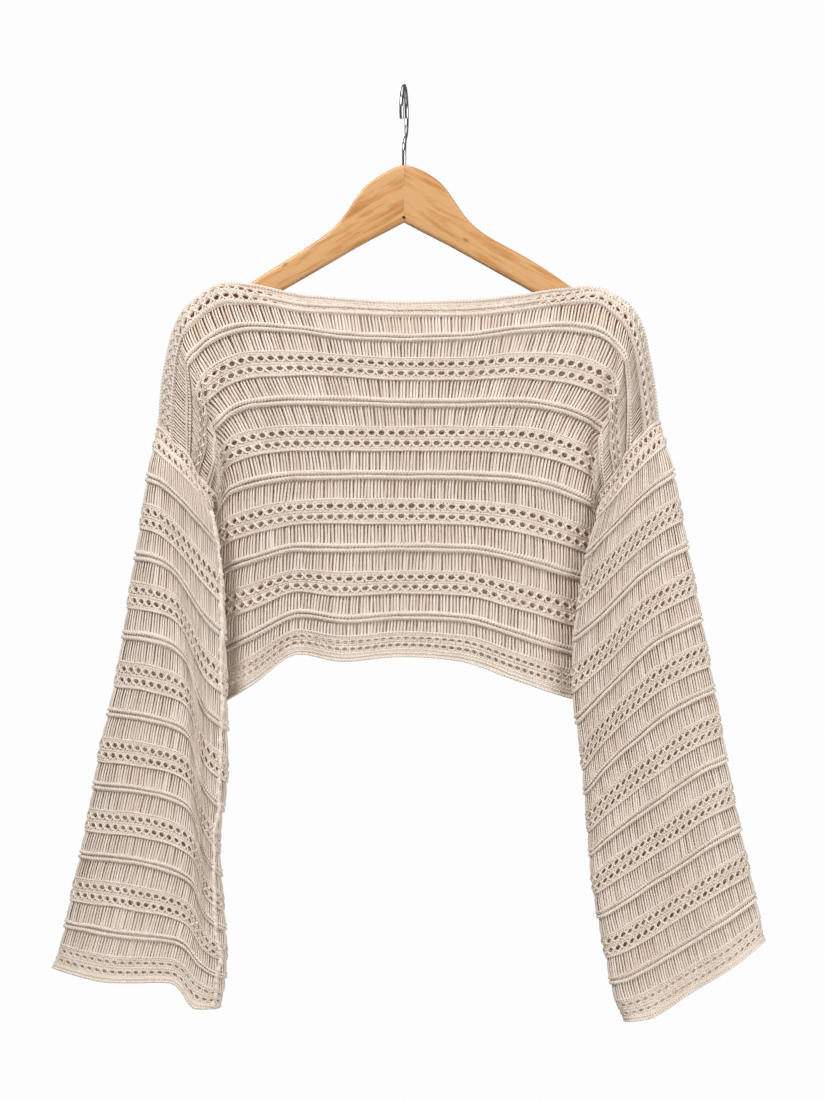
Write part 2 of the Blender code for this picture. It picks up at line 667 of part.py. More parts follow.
left, right = COLUMN_AT[0], COLUMN_AT[14]
shoulders = (shoulder_seam(body_columns[:SIDE_COLUMNS]), shoulder_seam(body_columns[-SIDE_COLUMNS:]))
sides = (side_seam(left), side_seam(right))
armholes_front, armholes_back = [], []
for name, table, folds, column, side in (
    ("sleeve_left", LEFT_SLEEVE, LEFT_FOLDS, left, -1),
    ("sleeve_right", RIGHT_SLEEVE, RIGHT_FOLDS, right, 1),
):
    at, rings = sleeve_rings(table, folds, column)
    start = np.array([curve(at, rings, v) for v in (0.0, 6.0)])
    near = sheet_normals(start, True, side)[0]
    away = unit(start[1] - start[0])
    half = AROUND // 2
    around_back = [0] + list(range(AROUND - 1, half - 1, -1))
    armhole_front = armhole_seam(front_rows, -1, column, near[:half + 1], away[:half + 1])
    armhole_back = armhole_seam(back_rows, 1, column, near[around_back], away[around_back])
    shoulder = shoulders[0 if side < 0 else 1]
    top = unit(armhole_front.normals[0] + armhole_back.normals[0] + shoulder.normals[0 if side < 0 else -1])
    for armhole in (armhole_front, armhole_back):
        armhole.set_corner(0, top)
    shoulder.set_corner(0 if side < 0 else -1, top)
    armholes_front.append(armhole_front)
    armholes_back.append(armhole_back)
    surface = sleeve_surface(at, rings, side, armhole_front, armhole_back)
    make_wall(name, surface, sleeve_outer, sleeve_inner, sleeve_rise, True, side, cotton, garment)

front_surface = panel_surface(front_rows, -1, (shoulders, armholes_front, sides))
back_surface = panel_surface(back_rows, 1, (shoulders, armholes_back, sides))
make_wall("front", front_surface, body_outer, body_inner, body_rise, False, -1, cotton, garment)
make_wall("back", back_surface, body_outer, body_inner, body_rise, False, 1, cotton, garment)
make_arm("hanger_left_arm", LEFT_ARM, -1, wood, garment)
make_arm("hanger_right_arm", RIGHT_ARM, 1, wood, garment)
make_hook(steel, garment)
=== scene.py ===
# cropped openwork sweater on a wooden hanger
import math

import bmesh
import bpy
import numpy as np
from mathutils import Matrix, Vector


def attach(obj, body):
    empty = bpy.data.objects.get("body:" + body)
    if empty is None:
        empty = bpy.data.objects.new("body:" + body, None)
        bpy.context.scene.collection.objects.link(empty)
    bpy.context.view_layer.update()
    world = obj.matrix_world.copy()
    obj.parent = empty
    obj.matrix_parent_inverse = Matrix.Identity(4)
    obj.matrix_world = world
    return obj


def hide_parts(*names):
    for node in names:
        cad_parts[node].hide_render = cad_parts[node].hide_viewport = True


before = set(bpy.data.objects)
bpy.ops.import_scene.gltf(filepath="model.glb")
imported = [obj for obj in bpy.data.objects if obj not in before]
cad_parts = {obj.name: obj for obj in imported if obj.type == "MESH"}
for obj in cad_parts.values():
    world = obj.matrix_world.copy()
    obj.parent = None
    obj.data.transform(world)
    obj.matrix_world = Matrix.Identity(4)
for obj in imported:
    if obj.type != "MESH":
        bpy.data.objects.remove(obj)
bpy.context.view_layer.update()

mm = 0.001
rng = np.random.default_rng(7)
print("frame loaded")


# small helpers
def deselect():
    bpy.ops.object.select_all(action="DESELECT")


def srgb(hexCode):
    # hex colour to linear
    values = [int(hexCode[i:i + 2], 16) / 255 for i in (1, 3, 5)]
    return [v / 12.92 if v <= 0.04045 else ((v + 0.055) / 1.055) ** 2.4 for v in values] + [1.0]


def through(at, rows, where):
    # smooth curve through table rows, that never swings past a row
    at = np.asarray(at, float)
    rows = np.asarray(rows, float)
    where = np.atleast_1d(np.asarray(where, float))
    steps = np.diff(at).reshape(-1, *([1] * (rows.ndim - 1)))
    rises = np.diff(rows, axis=0) / steps
    before, after = rises[:-1], rises[1:]
    middle = (before * steps[1:] + after * steps[:-1]) / (steps[1:] + steps[:-1])
    most = 2 * np.minimum(np.abs(before), np.abs(after))
    kept = np.where(before * after > 0, np.sign(middle) * np.minimum(np.abs(middle), most), 0.0)
    tilt = np.concatenate([rises[:1], kept, rises[-1:]])
    i = np.clip(np.searchsorted(at, where) - 1, 0, len(at) - 2)
    shape = (-1,) + (1,) * (rows.ndim - 1)
    step = (at[i + 1] - at[i]).reshape(shape)
    t = ((where - at[i]) / (at[i + 1] - at[i])).reshape(shape)
    return (rows[i] * (2 * t**3 - 3 * t**2 + 1) + tilt[i] * step * (t**3 - 2 * t**2 + t)
            + rows[i + 1] * (3 * t**2 - 2 * t**3) + tilt[i + 1] * step * (t**3 - t**2))


def unit(v):
    return v / np.maximum(np.linalg.norm(v, axis=-1, keepdims=True), 1e-9)


def takeMesh(helper):
    # points and faces of a modelled helper, which is then removed
    points = np.array([v.co[:] for v in helper.data.vertices])
    faces = np.array([f.vertices[:] for f in helper.data.polygons])
    mesh = helper.data
    bpy.data.objects.remove(helper)
    bpy.data.meshes.remove(mesh)
    return points, faces


# form of the body, all in mm: the solids' own stations, but the caps' lower ends reach further in
body = {
    "length": 331.0,
    "armhole": 133.0,
    "trim": 18.0,  # height of the rounded turn over the hanger
    "fade": 22.0,  # how far in from the caps the turn fades out
    "grid": (316, 166),  # points across and down the modelled surface
    "columns": (-314, -257, -207, -157, -136, -93, -53, -1, 50, 99, 146, 168, 216, 265, 317),
    "rows": (0.0, 18.0, 38.5, 70.0, 133.0, 196.0, 259.0, 331.0),
    # z, then half depth, of each row at the nine columns between the caps
    "heights": (
        (-175.4, -177, -186, -190, -193, -192, -187, -181, -179.4),
        (-196, -196, -203, -205, -207, -207, -203, -196, -195),
        (-219, -216, -219, -224, -226, -225, -219, -216, -218),
        (-256, -250, -249, -251, -254, -254, -251, -254, -260),
        (-328, -320, -316, -316, -316, -316, -317, -327, -338),
        (-397, -390, -382, -381, -381, -382, -387, -400, -408),
        (-465, -457, -443, -446, -444, -445, -456, -470, -477),
        (-550, -537, -509, -515, -511, -515, -532, -548, -554),
    ),
    "depths": (
        (0.0, 9.7, 10, 9.7, 9.5, 9.7, 10, 9.7, 0.0),
        (13, 15, 17, 17.5, 18, 17.5, 17, 15, 13),
        (16, 18.5, 21, 21.5, 21.5, 21.5, 21, 18.5, 16),
        (16, 20, 23, 23, 23, 23, 23, 20, 16),
        (13, 19, 25, 24, 24, 24, 25, 19, 13),
        (7, 18, 26, 25, 25, 24, 25, 14, 6),
        (6, 17, 22, 28, 25, 23, 25, 10, 5),
        (6, 16, 19, 32, 24, 22, 25, 10, 5),
    ),
    # (x, y, z) on the shoulder caps and below them: side edge, halfway, near the hanger's tip
    "leftFront": (
        ((-221, 0, -305), (-215, 0, -249), (-199, 0, -203)),
        ((-207, -14, -318), (-205, -15, -268), (-199, -14, -230)),
        ((-192, -22, -331), (-191, -25, -287), (-192, -23, -250)),
        ((-187, -20, -345), (-179, -30, -311), (-180, -30, -284)),
        ((-166, -9, -373), (-165, -14, -364), (-166, -16, -351)),
        ((-183, 9, -412), (-176, 3, -409), (-167, -2, -404)),
        ((-184, 9, -480), (-176, 4, -476), (-167, -1, -470)),
        ((-183, 9, -565), (-175, 4, -561), (-166, -1, -556)),
    ),
    "rightFront": (
        ((229, 0, -300), (222, 0, -249), (208, 0, -203)),
        ((214, -14, -311), (210, -15, -268), (203, -14, -228)),
        ((200, -22, -326), (200, -25, -280), (196, -23, -244)),
        ((191, -22, -343), (187, -30, -309), (187, -30, -281)),
        ((171, -9, -376), (170, -14, -367), (172, -16, -354)),
        ((188, 9, -417), (182, 3, -414), (176, -1, -411)),
        ((188, 9, -485), (182, 4, -482), (176, 0, -479)),
        ((188, 9, -563), (182, 4, -560), (176, 0, -557)),
    ),
    "leftBack": (
        ((-221, 0, -305), (-215, 0, -249), (-199, 0, -203)),
        ((-214, 12, -313), (-206, 14, -262), (-195, 14, -222)),
        ((-207, 16, -324), (-198, 19, -280), (-186, 19, -242)),
        ((-199, 17, -338), (-190, 21, -303), (-179, 21, -275)),
        ((-166, -9, -373), (-180, 10, -360), (-176, 19, -344)),
        ((-183, 9, -412), (-180, 16, -408), (-173, 20, -403)),
        ((-184, 9, -480), (-180, 16, -476), (-173, 20, -471)),
        ((-183, 9, -565), (-179, 16, -561), (-172, 20, -555)),
    ),
    "rightBack": (
        ((229, 0, -300), (222, 0, -249), (208, 0, -203)),
        ((222, 12, -308), (213, 14, -260), (202, 14, -220)),
        ((214, 16, -319), (205, 19, -276), (193, 19, -240)),
        ((205, 17, -334), (196, 21, -301), (185, 21, -273)),
        ((171, -9, -376), (185, 10, -361), (181, 19, -347)),
        ((188, 9, -417), (185, 16, -412), (179, 20, -409)),
        ((188, 9, -485), (185, 16, -481), (180, 20, -478)),
        ((188, 9, -563), (185, 16, -559), (179, 20, -556)),
    ),
}


def panelLines(left, right, side):
    # every table row of one panel as points across all columns
    lines = []
    for row in range(len(body["rows"])):
        points = list(body[left][row])
        for x, depth, z in zip(body["columns"][3:12], body["depths"][row], body["heights"][row]):
            points.append((x, side * depth, z))
        points += list(body[right][row])[::-1]
        lines.append(points)
    return np.array(lines, float)


def panelPoints(lines, across, down):
    # middle surface, indexed [down][across]
    crossed = through(body["columns"], lines.transpose(1, 0, 2), across).transpose(1, 0, 2)
    points = through(body["rows"], crossed, down)
    first, last = body["columns"][3], body["columns"][11]
    past = np.minimum(abs(across - first), abs(across - last))
    inside = np.clip(1 - past / body["fade"], 0, 1)
    weight = np.where((across < first) | (across > last), 1.0, inside)
    for j, v in enumerate(down):
        if v >= body["trim"]:
            break
        t = v / body["trim"]
        edge, fall = crossed[0], crossed[1] - crossed[0]
        turned = edge + fall * t
        turned[:, 1] = edge[:, 1] + fall[:, 1] * math.sin(t * math.pi / 2)
        turned[:, 2] = edge[:, 2] + fall[:, 2] * (1 - math.cos(t * math.pi / 2))
        points[j] += (turned - points[j]) * weight[:, None]
    return points


# form of the sleeves, all in mm
sleeves = {
    "length": 465.0,
    "wrap": 0.2,  # how far round to the back the underarm point sits
    "grid": (200, 234),  # points round and down the modelled surface
    "rows": (30.0, 74.0, 137.0, 200.0, 263.0, 326.0, 389.0, 452.0, 465.0),
    # (x, z) from the outer fold to the inner fold
    "left": (
        ((-226, -337), (-214, -344), (-199, -357), (-180, -377), (-168, -394)),
        ((-233, -385), (-221, -388), (-207, -398), (-177, -433), (-161, -451)),
        ((-244, -455), (-223, -458), (-201, -469), (-177, -514), (-158, -532)),
        ((-255, -525), (-225, -529), (-192, -544), (-177, -592), (-157, -611)),
        ((-270, -592), (-227, -597), (-191, -612), (-178, -653), (-164, -676)),
        ((-281, -655), (-235, -658), (-189, -676), (-175, -714), (-161, -728)),
        ((-294, -716), (-246, -721), (-195, -735), (-176, -762), (-158, -773)),
        ((-308, -776), (-260, -785), (-207, -788), (-183, -808), (-162, -814)),
        ((-312, -787), (-261, -797), (-208, -799), (-184, -822), (-164, -822)),
    ),
    "right": (
        ((237, -333), (221, -345), (205, -360), (185, -382), (167, -403)),
        ((246, -378), (227, -389), (206, -406), (180, -431), (156, -456)),
        ((258, -443), (237, -454), (212, -470), (180, -504), (150, -530)),
        ((270, -507), (246, -517), (219, -534), (178, -574), (158, -601)),
        ((281, -569), (256, -580), (227, -600), (182, -637), (163, -657)),
        ((292, -630), (266, -642), (234, -665), (185, -699), (168, -712)),
        ((305, -692), (274, -709), (244, -729), (198, -759), (178, -768)),
        ((318, -752), (286, -775), (254, -795), (214, -819), (192, -825)),
        ((320, -763), (289, -785), (256, -806), (216, -831), (197, -834)),
    ),
    # middle y, half thickness, then how far front and back layers are pushed in
    "leftFolds": (
        (-23, 11.5, (0, 0, 0, 0, 0), (0, 0, 0, 0, 0)),
        (-24, 11, (0, 0, 3, 0, 0), (0, 0, 0, 0, 0)),
        (-25, 12, (0, -1, 4, -1, 0), (0, 0, 2, 0, 0)),
        (-26, 13, (0, -2, 5, -1, 0), (0, -1, 2, 0, 0)),
        (-26, 13, (0, -2, 5, 1, 0), (0, -1, 2, 0, 0)),
        (-26, 14, (0, -3, 4, 0, 0), (0, -2, 2, 0, 0)),
        (-26, 15, (0, -3, 5, 0, 0), (0, -2, 2, 0, 0)),
        (-26, 17, (0, -4, 6, 1, 0), (0, -2, 3, 0, 0)),
        (-26, 17, (0, -4, 6, 1, 0), (0, -2, 3, 0, 0)),
    ),
    "rightFolds": (
        (-23, 11.5, (0, 0, 0, 0, 0), (0, 0, 0, 0, 0)),
        (-24, 11, (0, 0, 1, 0, 0), (0, 0, 0, 0, 0)),
        (-25, 12, (0, 0, 2, 2, 0), (0, 0, 1, 0, 0)),
        (-26, 13, (0, -1, 3, 4, 0), (0, 0, 1, 1, 0)),
        (-26, 13, (0, -2, 3, 5, 0), (0, -1, 1, 2, 0)),
        (-26, 14, (0, -2, 3, 6, 0), (0, -1, 1, 2, 0)),
        (-26, 15, (0, -2, 3, 5, 0), (0, -1, 1, 2, 0)),
        (-26, 17, (0, -3, 2, 4, 0), (0, -1, 1, 2, 0)),
        (-26, 17, (0, -3, 2, 4, 0), (0, -1, 1, 2, 0)),
    ),
}


def ringPoints(stations, fold, around):
    # one flattened ring, spaced as the armhole is
    middle, half, frontPush, backPush = fold
    steps = 240
    angle = np.arange(steps + 1) * 2 * math.pi / steps
    station = 2 - 2 * np.cos(angle)
    flat = through(range(5), stations, station)
    roundOff = np.sign(np.sin(angle)) * np.abs(np.sin(angle)) ** 0.7  # blunter than an ellipse
    pushed = [through(range(5), push, station) for push in (frontPush, backPush)]
    push = np.where(angle < math.pi, pushed[0], pushed[1])
    loop = np.stack([flat[:, 0], middle - half * roundOff + push, flat[:, 1]], axis=1)
    loop[-1] = loop[0]
    run = np.concatenate([[0.0], np.cumsum(np.linalg.norm(np.diff(loop, axis=0), axis=1))])
    underarm = run[steps // 2] + sleeves["wrap"] * run[-1]
    onBack = run[-1] - (run[-1] - underarm) * 2 * (1 - around)
    where = np.where(around < 0.5, underarm * 2 * around, onBack)
    return np.stack([np.interp(where, run, loop[:, k]) for k in range(3)], axis=1)


def sleevePoints(side, around, down):
    # middle surface, indexed [down][around], the first ring along the armhole
    edge = np.array([body["columns"][0 if side == "left" else -1]], float)
    where = body["armhole"] * (1 - np.abs(1 - 2 * around))
    front = panelPoints(panelLines("leftFront", "rightFront", -1), edge, where)[:, 0]
    back = panelPoints(panelLines("leftBack", "rightBack", 1), edge, where)[:, 0]
    rings = [np.where((around < 0.5)[:, None], front, back)]
    for stations, fold in zip(sleeves[side], sleeves[side + "Folds"]):
        rings.append(ringPoints(stations, fold, around))
    return through((0.0,) + sleeves["rows"], np.array(rings), down)


# creases: where across (0 to 1), how far down, half width, half length, depth, lean
creases = {
    "front": (
        (0.112, 76, 6, 60, 3.6, -0.345), (0.136, 80, 5.5, 52, -6.0, -0.345),
        (0.888, 76, 6, 60, 3.6, 0.345), (0.864, 80, 5.5, 52, -6.0, 0.345),
        (0.30, 110, 22, 60, 1.6, 0.3), (0.40, 180, 16, 70, -1.4, 0.1), (0.56, 210, 20, 80, 1.5, -0.1),
        (0.68, 150, 18, 60, -1.5, -0.3), (0.76, 215, 14, 60, 1.8, -0.2), (0.24, 235, 14, 60, -1.6, 0.2),
        (0.48, 290, 14, 45, -1.6, 0.0), (0.62, 300, 16, 45, 1.6, 0.1), (0.35, 300, 14, 40, 1.6, 0.0),
        (0.22, 150, 9, 40, -1.8, 0.5), (0.79, 140, 9, 40, -1.8, -0.5),
    ),
    "back": (
        (0.28, 120, 20, 60, 1.6, 0.2), (0.38, 220, 18, 80, -1.5, 0.1), (0.52, 180, 20, 90, 1.4, 0.0),
        (0.66, 240, 16, 70, -1.5, -0.1), (0.75, 150, 18, 60, 1.6, -0.3), (0.58, 300, 14, 40, 1.4, 0.0),
    ),
    "left": (
        (0.12, 150, 9, 70, 1.4, 0.0), (0.20, 260, 10, 90, -1.6, 0.05), (0.30, 330, 9, 90, 1.6, 0.0),
        (0.40, 200, 8, 80, -1.4, 0.0), (0.62, 240, 10, 90, 1.5, 0.0), (0.80, 330, 11, 90, -1.5, 0.0),
    ),
    "right": (
        (0.14, 190, 10, 80, -1.5, 0.0), (0.24, 300, 11, 90, 1.6, 0.0), (0.34, 210, 9, 80, -1.6, 0.0),
        (0.42, 340, 9, 80, 1.5, 0.0), (0.66, 220, 10, 90, -1.5, 0.0), (0.82, 320, 11, 90, 1.5, 0.0),
    ),
}


def makeForm(points, down, closed, side, folds, samples=420):
    # the cloth's surface, resampled so that each row is spaced by its own length
    if closed:
        points = np.concatenate([points, points[:, :1]], axis=1)
    lengths, spaced = [], []
    share = np.linspace(0, 1, samples)
    for row in points:
        run = np.concatenate([[0.0], np.cumsum(np.linalg.norm(np.diff(row, axis=0), axis=1))])
        lengths.append(run[-1])
        spaced.append([np.interp(share * run[-1], run, row[:, k]) for k in range(3)])
    grid = np.array(spaced).transpose(0, 2, 1)
    below = np.gradient(grid, axis=0)
    if closed:
        loop = grid[:, :-1]
        across = np.roll(loop, -1, axis=1) - np.roll(loop, 1, axis=1)
        across = np.concatenate([across, across[:, :1]], axis=1)
    else:
        across = np.gradient(grid, axis=1)
    normals = unit(np.cross(across, below)) * side
    for _ in range(3):  # soften hard turns
        normals[:, 1:-1] = unit(normals[:, :-2] + 2 * normals[:, 1:-1] + normals[:, 2:])
        normals[1:-1] = unit(normals[:-2] + 2 * normals[1:-1] + normals[2:])
    if closed:
        normals[:, -1] = normals[:, 0]
    middle = float(np.median(lengths))
    for at, v, wide, tall, deep, lean in folds:
        du = (share[None, :] - at) * middle - lean * (down[:, None] - v)
        lift = deep * np.exp(-(du / wide) ** 2 - ((down[:, None] - v) / tall) ** 2)
        grid = grid + normals * lift[..., None]
    return {"grid": grid, "normals": normals, "down": down, "lengths": np.array(lengths), "closed": closed}


def drape(form, share, down, height):
    # flat knit (share across, mm down, mm up) onto the form, in metres
    samples = form["grid"].shape[1]
    x = np.mod(share, 1.0) * (samples - 1) if form["closed"] else np.clip(share, 0, 1) * (samples - 1)
    y = np.clip(down, form["down"][0], form["down"][-1]) / (form["down"][1] - form["down"][0])
    i = np.clip(x.astype(int), 0, samples - 2)
    j = np.clip(y.astype(int), 0, len(form["down"]) - 2)
    fx, fy = (x - i)[:, None], (y - j)[:, None]
    found = []
    for source in (form["grid"], form["normals"]):
        top = source[j, i] * (1 - fx) + source[j, i + 1] * fx
        bottom = source[j + 1, i] * (1 - fx) + source[j + 1, i + 1] * fx
        found.append(top * (1 - fy) + bottom * fy)
    return (found[0] + unit(found[1]) * height[:, None]) * mm


def bandLength(form, v):
    return float(np.interp(v, form["down"], form["lengths"]))


# stitch pieces, modelled once and then repeated
def tubeModel(sides, cuts):
    # open tube one unit long, split into even lengths
    deselect()
    bpy.ops.mesh.primitive_cylinder_add(vertices=sides, radius=1, depth=1, end_fill_type="NOTHING",
                                        location=(0, 0, 0.5))
    tube = bpy.context.object
    bpy.ops.object.mode_set(mode="EDIT")
    mesh = bmesh.from_edit_mesh(tube.data)
    for edge in mesh.edges:
        edge.select_set(abs(edge.verts[0].co.z - edge.verts[1].co.z) > 0.5)
    bmesh.update_edit_mesh(tube.data)
    if cuts:
        bpy.ops.mesh.subdivide(number_cuts=cuts)
    bpy.ops.object.mode_set(mode="OBJECT")
    points, faces = takeMesh(tube)
    return points + (0, 0, 0.5), faces


strandModel = tubeModel(5, 2)
slimStrandModel = tubeModel(4, 2)
legModel = tubeModel(4, 1)


def eyeletModel():
    # one eyelet of the knit: angle and ring of each point, from the hole's inner edge outwards
    widen = 1.3
    deselect()
    bpy.ops.mesh.primitive_circle_add(vertices=8, radius=1, fill_type="NOTHING")
    hole = bpy.context.object
    bpy.ops.object.mode_set(mode="EDIT")
    bpy.ops.mesh.select_all(action="SELECT")
    for _ in range(3):
        bpy.ops.mesh.extrude_region_move()
        bpy.ops.transform.resize(value=(widen, widen, 1))
    bpy.ops.object.mode_set(mode="OBJECT")
    points, faces = takeMesh(hole)
    ring = np.round(np.log(np.linalg.norm(points[:, :2], axis=1)) / math.log(widen)).astype(int)
    return np.arctan2(points[:, 1], points[:, 0]), ring, faces


eyeletAngle, eyeletRing, eyeletFaces = eyeletModel()


# flat knit: everything is laid flat first, as share across, mm down and mm up
def newKnit():
    return {"share": [], "down": [], "up": [], "faces": [], "uv": [], "toneAndShade": [], "count": 0}


def lay(knit, share, down, up, faces, uv, toneAndShade):
    # share, down, up are [copies, points]
    copies, points = share.shape
    shift = (np.arange(copies) * points)[:, None, None] + knit["count"]
    knit["share"].append(share.reshape(-1))
    knit["down"].append(np.broadcast_to(down, share.shape).reshape(-1))
    knit["up"].append(np.broadcast_to(up, share.shape).reshape(-1))
    knit["faces"].append((faces[None] + shift).reshape(-1, faces.shape[1]))
    knit["uv"].append(np.broadcast_to(uv, (copies, points, 2)).reshape(-1, 2))
    knit["toneAndShade"].append(np.broadcast_to(toneAndShade, share.shape).reshape(-1))
    knit["count"] += copies * points


def gridFaces(rings, sides, closed):
    # faces of a strip of rings, which ends join where the row is closed
    a = np.arange(rings)[:, None] * sides + np.arange(sides - 1)[None]
    b = np.roll(a, -1, axis=0)
    if not closed:
        a, b = a[:-1], b[:-1]
    return np.stack([b, b + 1, a + 1, a], axis=-1).reshape(-1, 4)


def wander(count, size, smooth):
    # uneven hand-knit drift along a row
    noise = rng.normal(0, 1, count + 2 * smooth + 1)
    kernel = np.hanning(smooth * 2 + 1) + 1e-6
    drift = np.convolve(noise, kernel / np.linalg.norm(kernel), "same")[smooth:smooth + count]
    return drift * size


def layStrands(knit, form, top, bottom, gauge):
    # dropped stitches: long bare yarns side by side
    length = bandLength(form, (top + bottom) / 2)
    count = int(length / gauge["pitch"])
    points, faces = gauge["strand"]
    s = points[:, 2]
    at = (np.arange(count) + 0.5) * length / count
    # hidden: the back panel, and the half of a sleeve that faces back
    hidden = at / length > 0.5 if form["closed"] else np.full(count, form["hidden"])
    loose = np.where(hidden, 0.3, 1.0) * gauge["loose"]
    bunch = (1 - np.arange(count) % 3) * 0.26 * loose  # they leave the row above in threes
    start = at + bunch + wander(count, 0.3, 6) + rng.normal(0, 0.16, count) * loose
    end = at + bunch * 0.3 + wander(count, 0.3, 6) + rng.normal(0, 0.2, count) * loose
    wide = gauge["yarn"] * rng.uniform(0.88, 1.12, count)
    wide = np.where(hidden, gauge["pitch"] * rng.uniform(1.04, 1.26, count), wide)  # closer knit behind
    sag = rng.normal(0, 0.18, count)
    centre = start[:, None] * (1 - s) + end[:, None] * s
    thin = np.where(hidden, 0.0, 1.0)[:, None]
    plump = 1 + thin * (0.34 * s - 0.22)  # thin where it leaves the ridge, fuller at its foot
    share = (centre + points[:, 0] * plump * wide[:, None] / 2) / length
    # set back under the ridge above, standing out at the foot
    rise = gauge["tuck"] * (1 - s) ** 1.5 + gauge["belly"] * np.sin(s * math.pi)
    deep = np.where(hidden, gauge["yarn"], wide)
    up = rise[None] + sag[:, None] + points[:, 1] * deep[:, None] * 0.46
    over = 0.9  # the ends reach under the rows above and below
    down = top - over + s * (bottom - top + 2 * over)
    around = np.arctan2(points[:, 1], points[:, 0]) / (2 * math.pi)
    uv = np.stack([around, s * (bottom - top) / 10], axis=1)
    toneAndShade = rng.uniform(0.3, 0.8, count)[:, None]
    lay(knit, share, down[None], up, faces, uv, toneAndShade)


def layRope(knit, form, down, up, gauge, thick=1.0, twist=1):
    # a rope of stitches along a row: the outer side of a twisted cord, three steps to a stitch
    length = bandLength(form, down)
    stitches = int(length / gauge["pitch"])
    rings = stitches * 3 + (0 if form["closed"] else 1)
    k = np.arange(rings)
    share = k / (stitches * 3)
    drift = wander(rings, 0.22, 20)
    angle = np.radians((-96, -34, 34, 96))
    sides = len(angle)
    turn = 2 * math.pi * k[:, None] / 3 + twist * angle[None] * 1.6
    swell = 1 + gauge["bead"] * np.cos(turn) + rng.normal(0, 0.07, (rings, 1))
    tall = gauge["rope"] * thick / 2
    v = down + drift[:, None] + np.sin(angle)[None] * tall * (0.55 + 0.45 * swell)
    h = up + np.cos(angle)[None] * tall * 0.9 * swell
    faces = gridFaces(rings, sides, form["closed"])
    uv = np.stack([np.tile(angle / 6, rings), np.repeat(k * gauge["pitch"] / 30, sides)], axis=1)
    # painted shade: each stitch is coloured light on its crown and darker where the next one tucks under,
    # where shade falls
    toneAndShade = 0.56 + 0.38 * np.cos(turn) + rng.uniform(-0.15, 0.15, (rings, 1))
    lay(knit, np.repeat(share, sides)[None], v.reshape(1, -1), h.reshape(1, -1), faces, uv,
        toneAndShade.reshape(1, -1))


def layStrip(knit, form, top, bottom, up, gauge):
    # plain solid rows between the openings: small leaning stitches
    length = bandLength(form, (top + bottom) / 2)
    stitches = int(length / gauge["pitch"])
    columns = stitches * 2 + (0 if form["closed"] else 1)
    lines = 3
    k = np.arange(columns)
    step = length / stitches / 2
    lean = np.array([0.0, 0.5 if form["closed"] else 0.0, 0.0]) * step
    share = (np.repeat(k * step, lines) + np.tile(lean, columns)) / length
    down = np.tile(np.linspace(top, bottom, lines), columns)
    stitch = np.where(k % 2, 0.42, -0.42)[:, None] * np.array([1, -1, 1])[None]
    h = up + np.tile([-0.5, 0.2, -0.5], columns) + stitch.reshape(-1)
    faces = gridFaces(columns, lines, form["closed"])
    u = np.tile(np.linspace(0, (bottom - top) / 10, lines), columns)
    uv = np.stack([u, share * length / 10], axis=1)
    # painted shade: the sunk half of each stitch is coloured darker and the raised half lighter, with a
    # little random tone
    toneAndShade = 0.52 + 0.6 * stitch + rng.uniform(-0.15, 0.15, (columns, 1))
    lay(knit, share[None], down[None], h[None], faces, uv, toneAndShade.reshape(1, -1))


def laySeam(knit, form, share, top, bottom):
    # two edges sewn together: a lumpy line of stitches down the cloth, pulled in at places
    rings = int((bottom - top) / 1.3)  # mm from stitch to stitch
    k = np.arange(rings)
    down = np.linspace(top, bottom, rings)
    gathered = np.cos(2 * math.pi * down / 9.0 + wander(rings, 1.4, 12))  # a lump every few rows
    angle = np.radians((-110, -55, 0, 55, 110))
    sides = len(angle)
    length = np.interp(down, form["down"], form["lengths"])
    middle = share + wander(rings, 1.3, 14) / length
    swell = 1 + 0.24 * np.where(k % 2, 1, -1)[:, None] + 0.34 * gathered[:, None]
    across = middle[:, None] + np.sin(angle)[None] * 2.3 * swell / length[:, None]
    up = -0.2 + wander(rings, 0.5, 8)[:, None] + np.cos(angle)[None] * 2.4 * swell
    a = k[:-1, None] * sides + np.arange(sides - 1)[None]
    b = a + sides
    faces = np.stack([a, b, b + 1, a + 1], axis=-1).reshape(-1, 4)
    uv = np.stack([np.tile(angle / 6, rings), np.repeat(down / 10, sides)], axis=1)
    lay(knit, across.reshape(1, -1), np.repeat(down, sides)[None], up.reshape(1, -1), faces[:, ::-1], uv,
        np.repeat(rng.uniform(0.5, 1.0, rings), sides)[None])


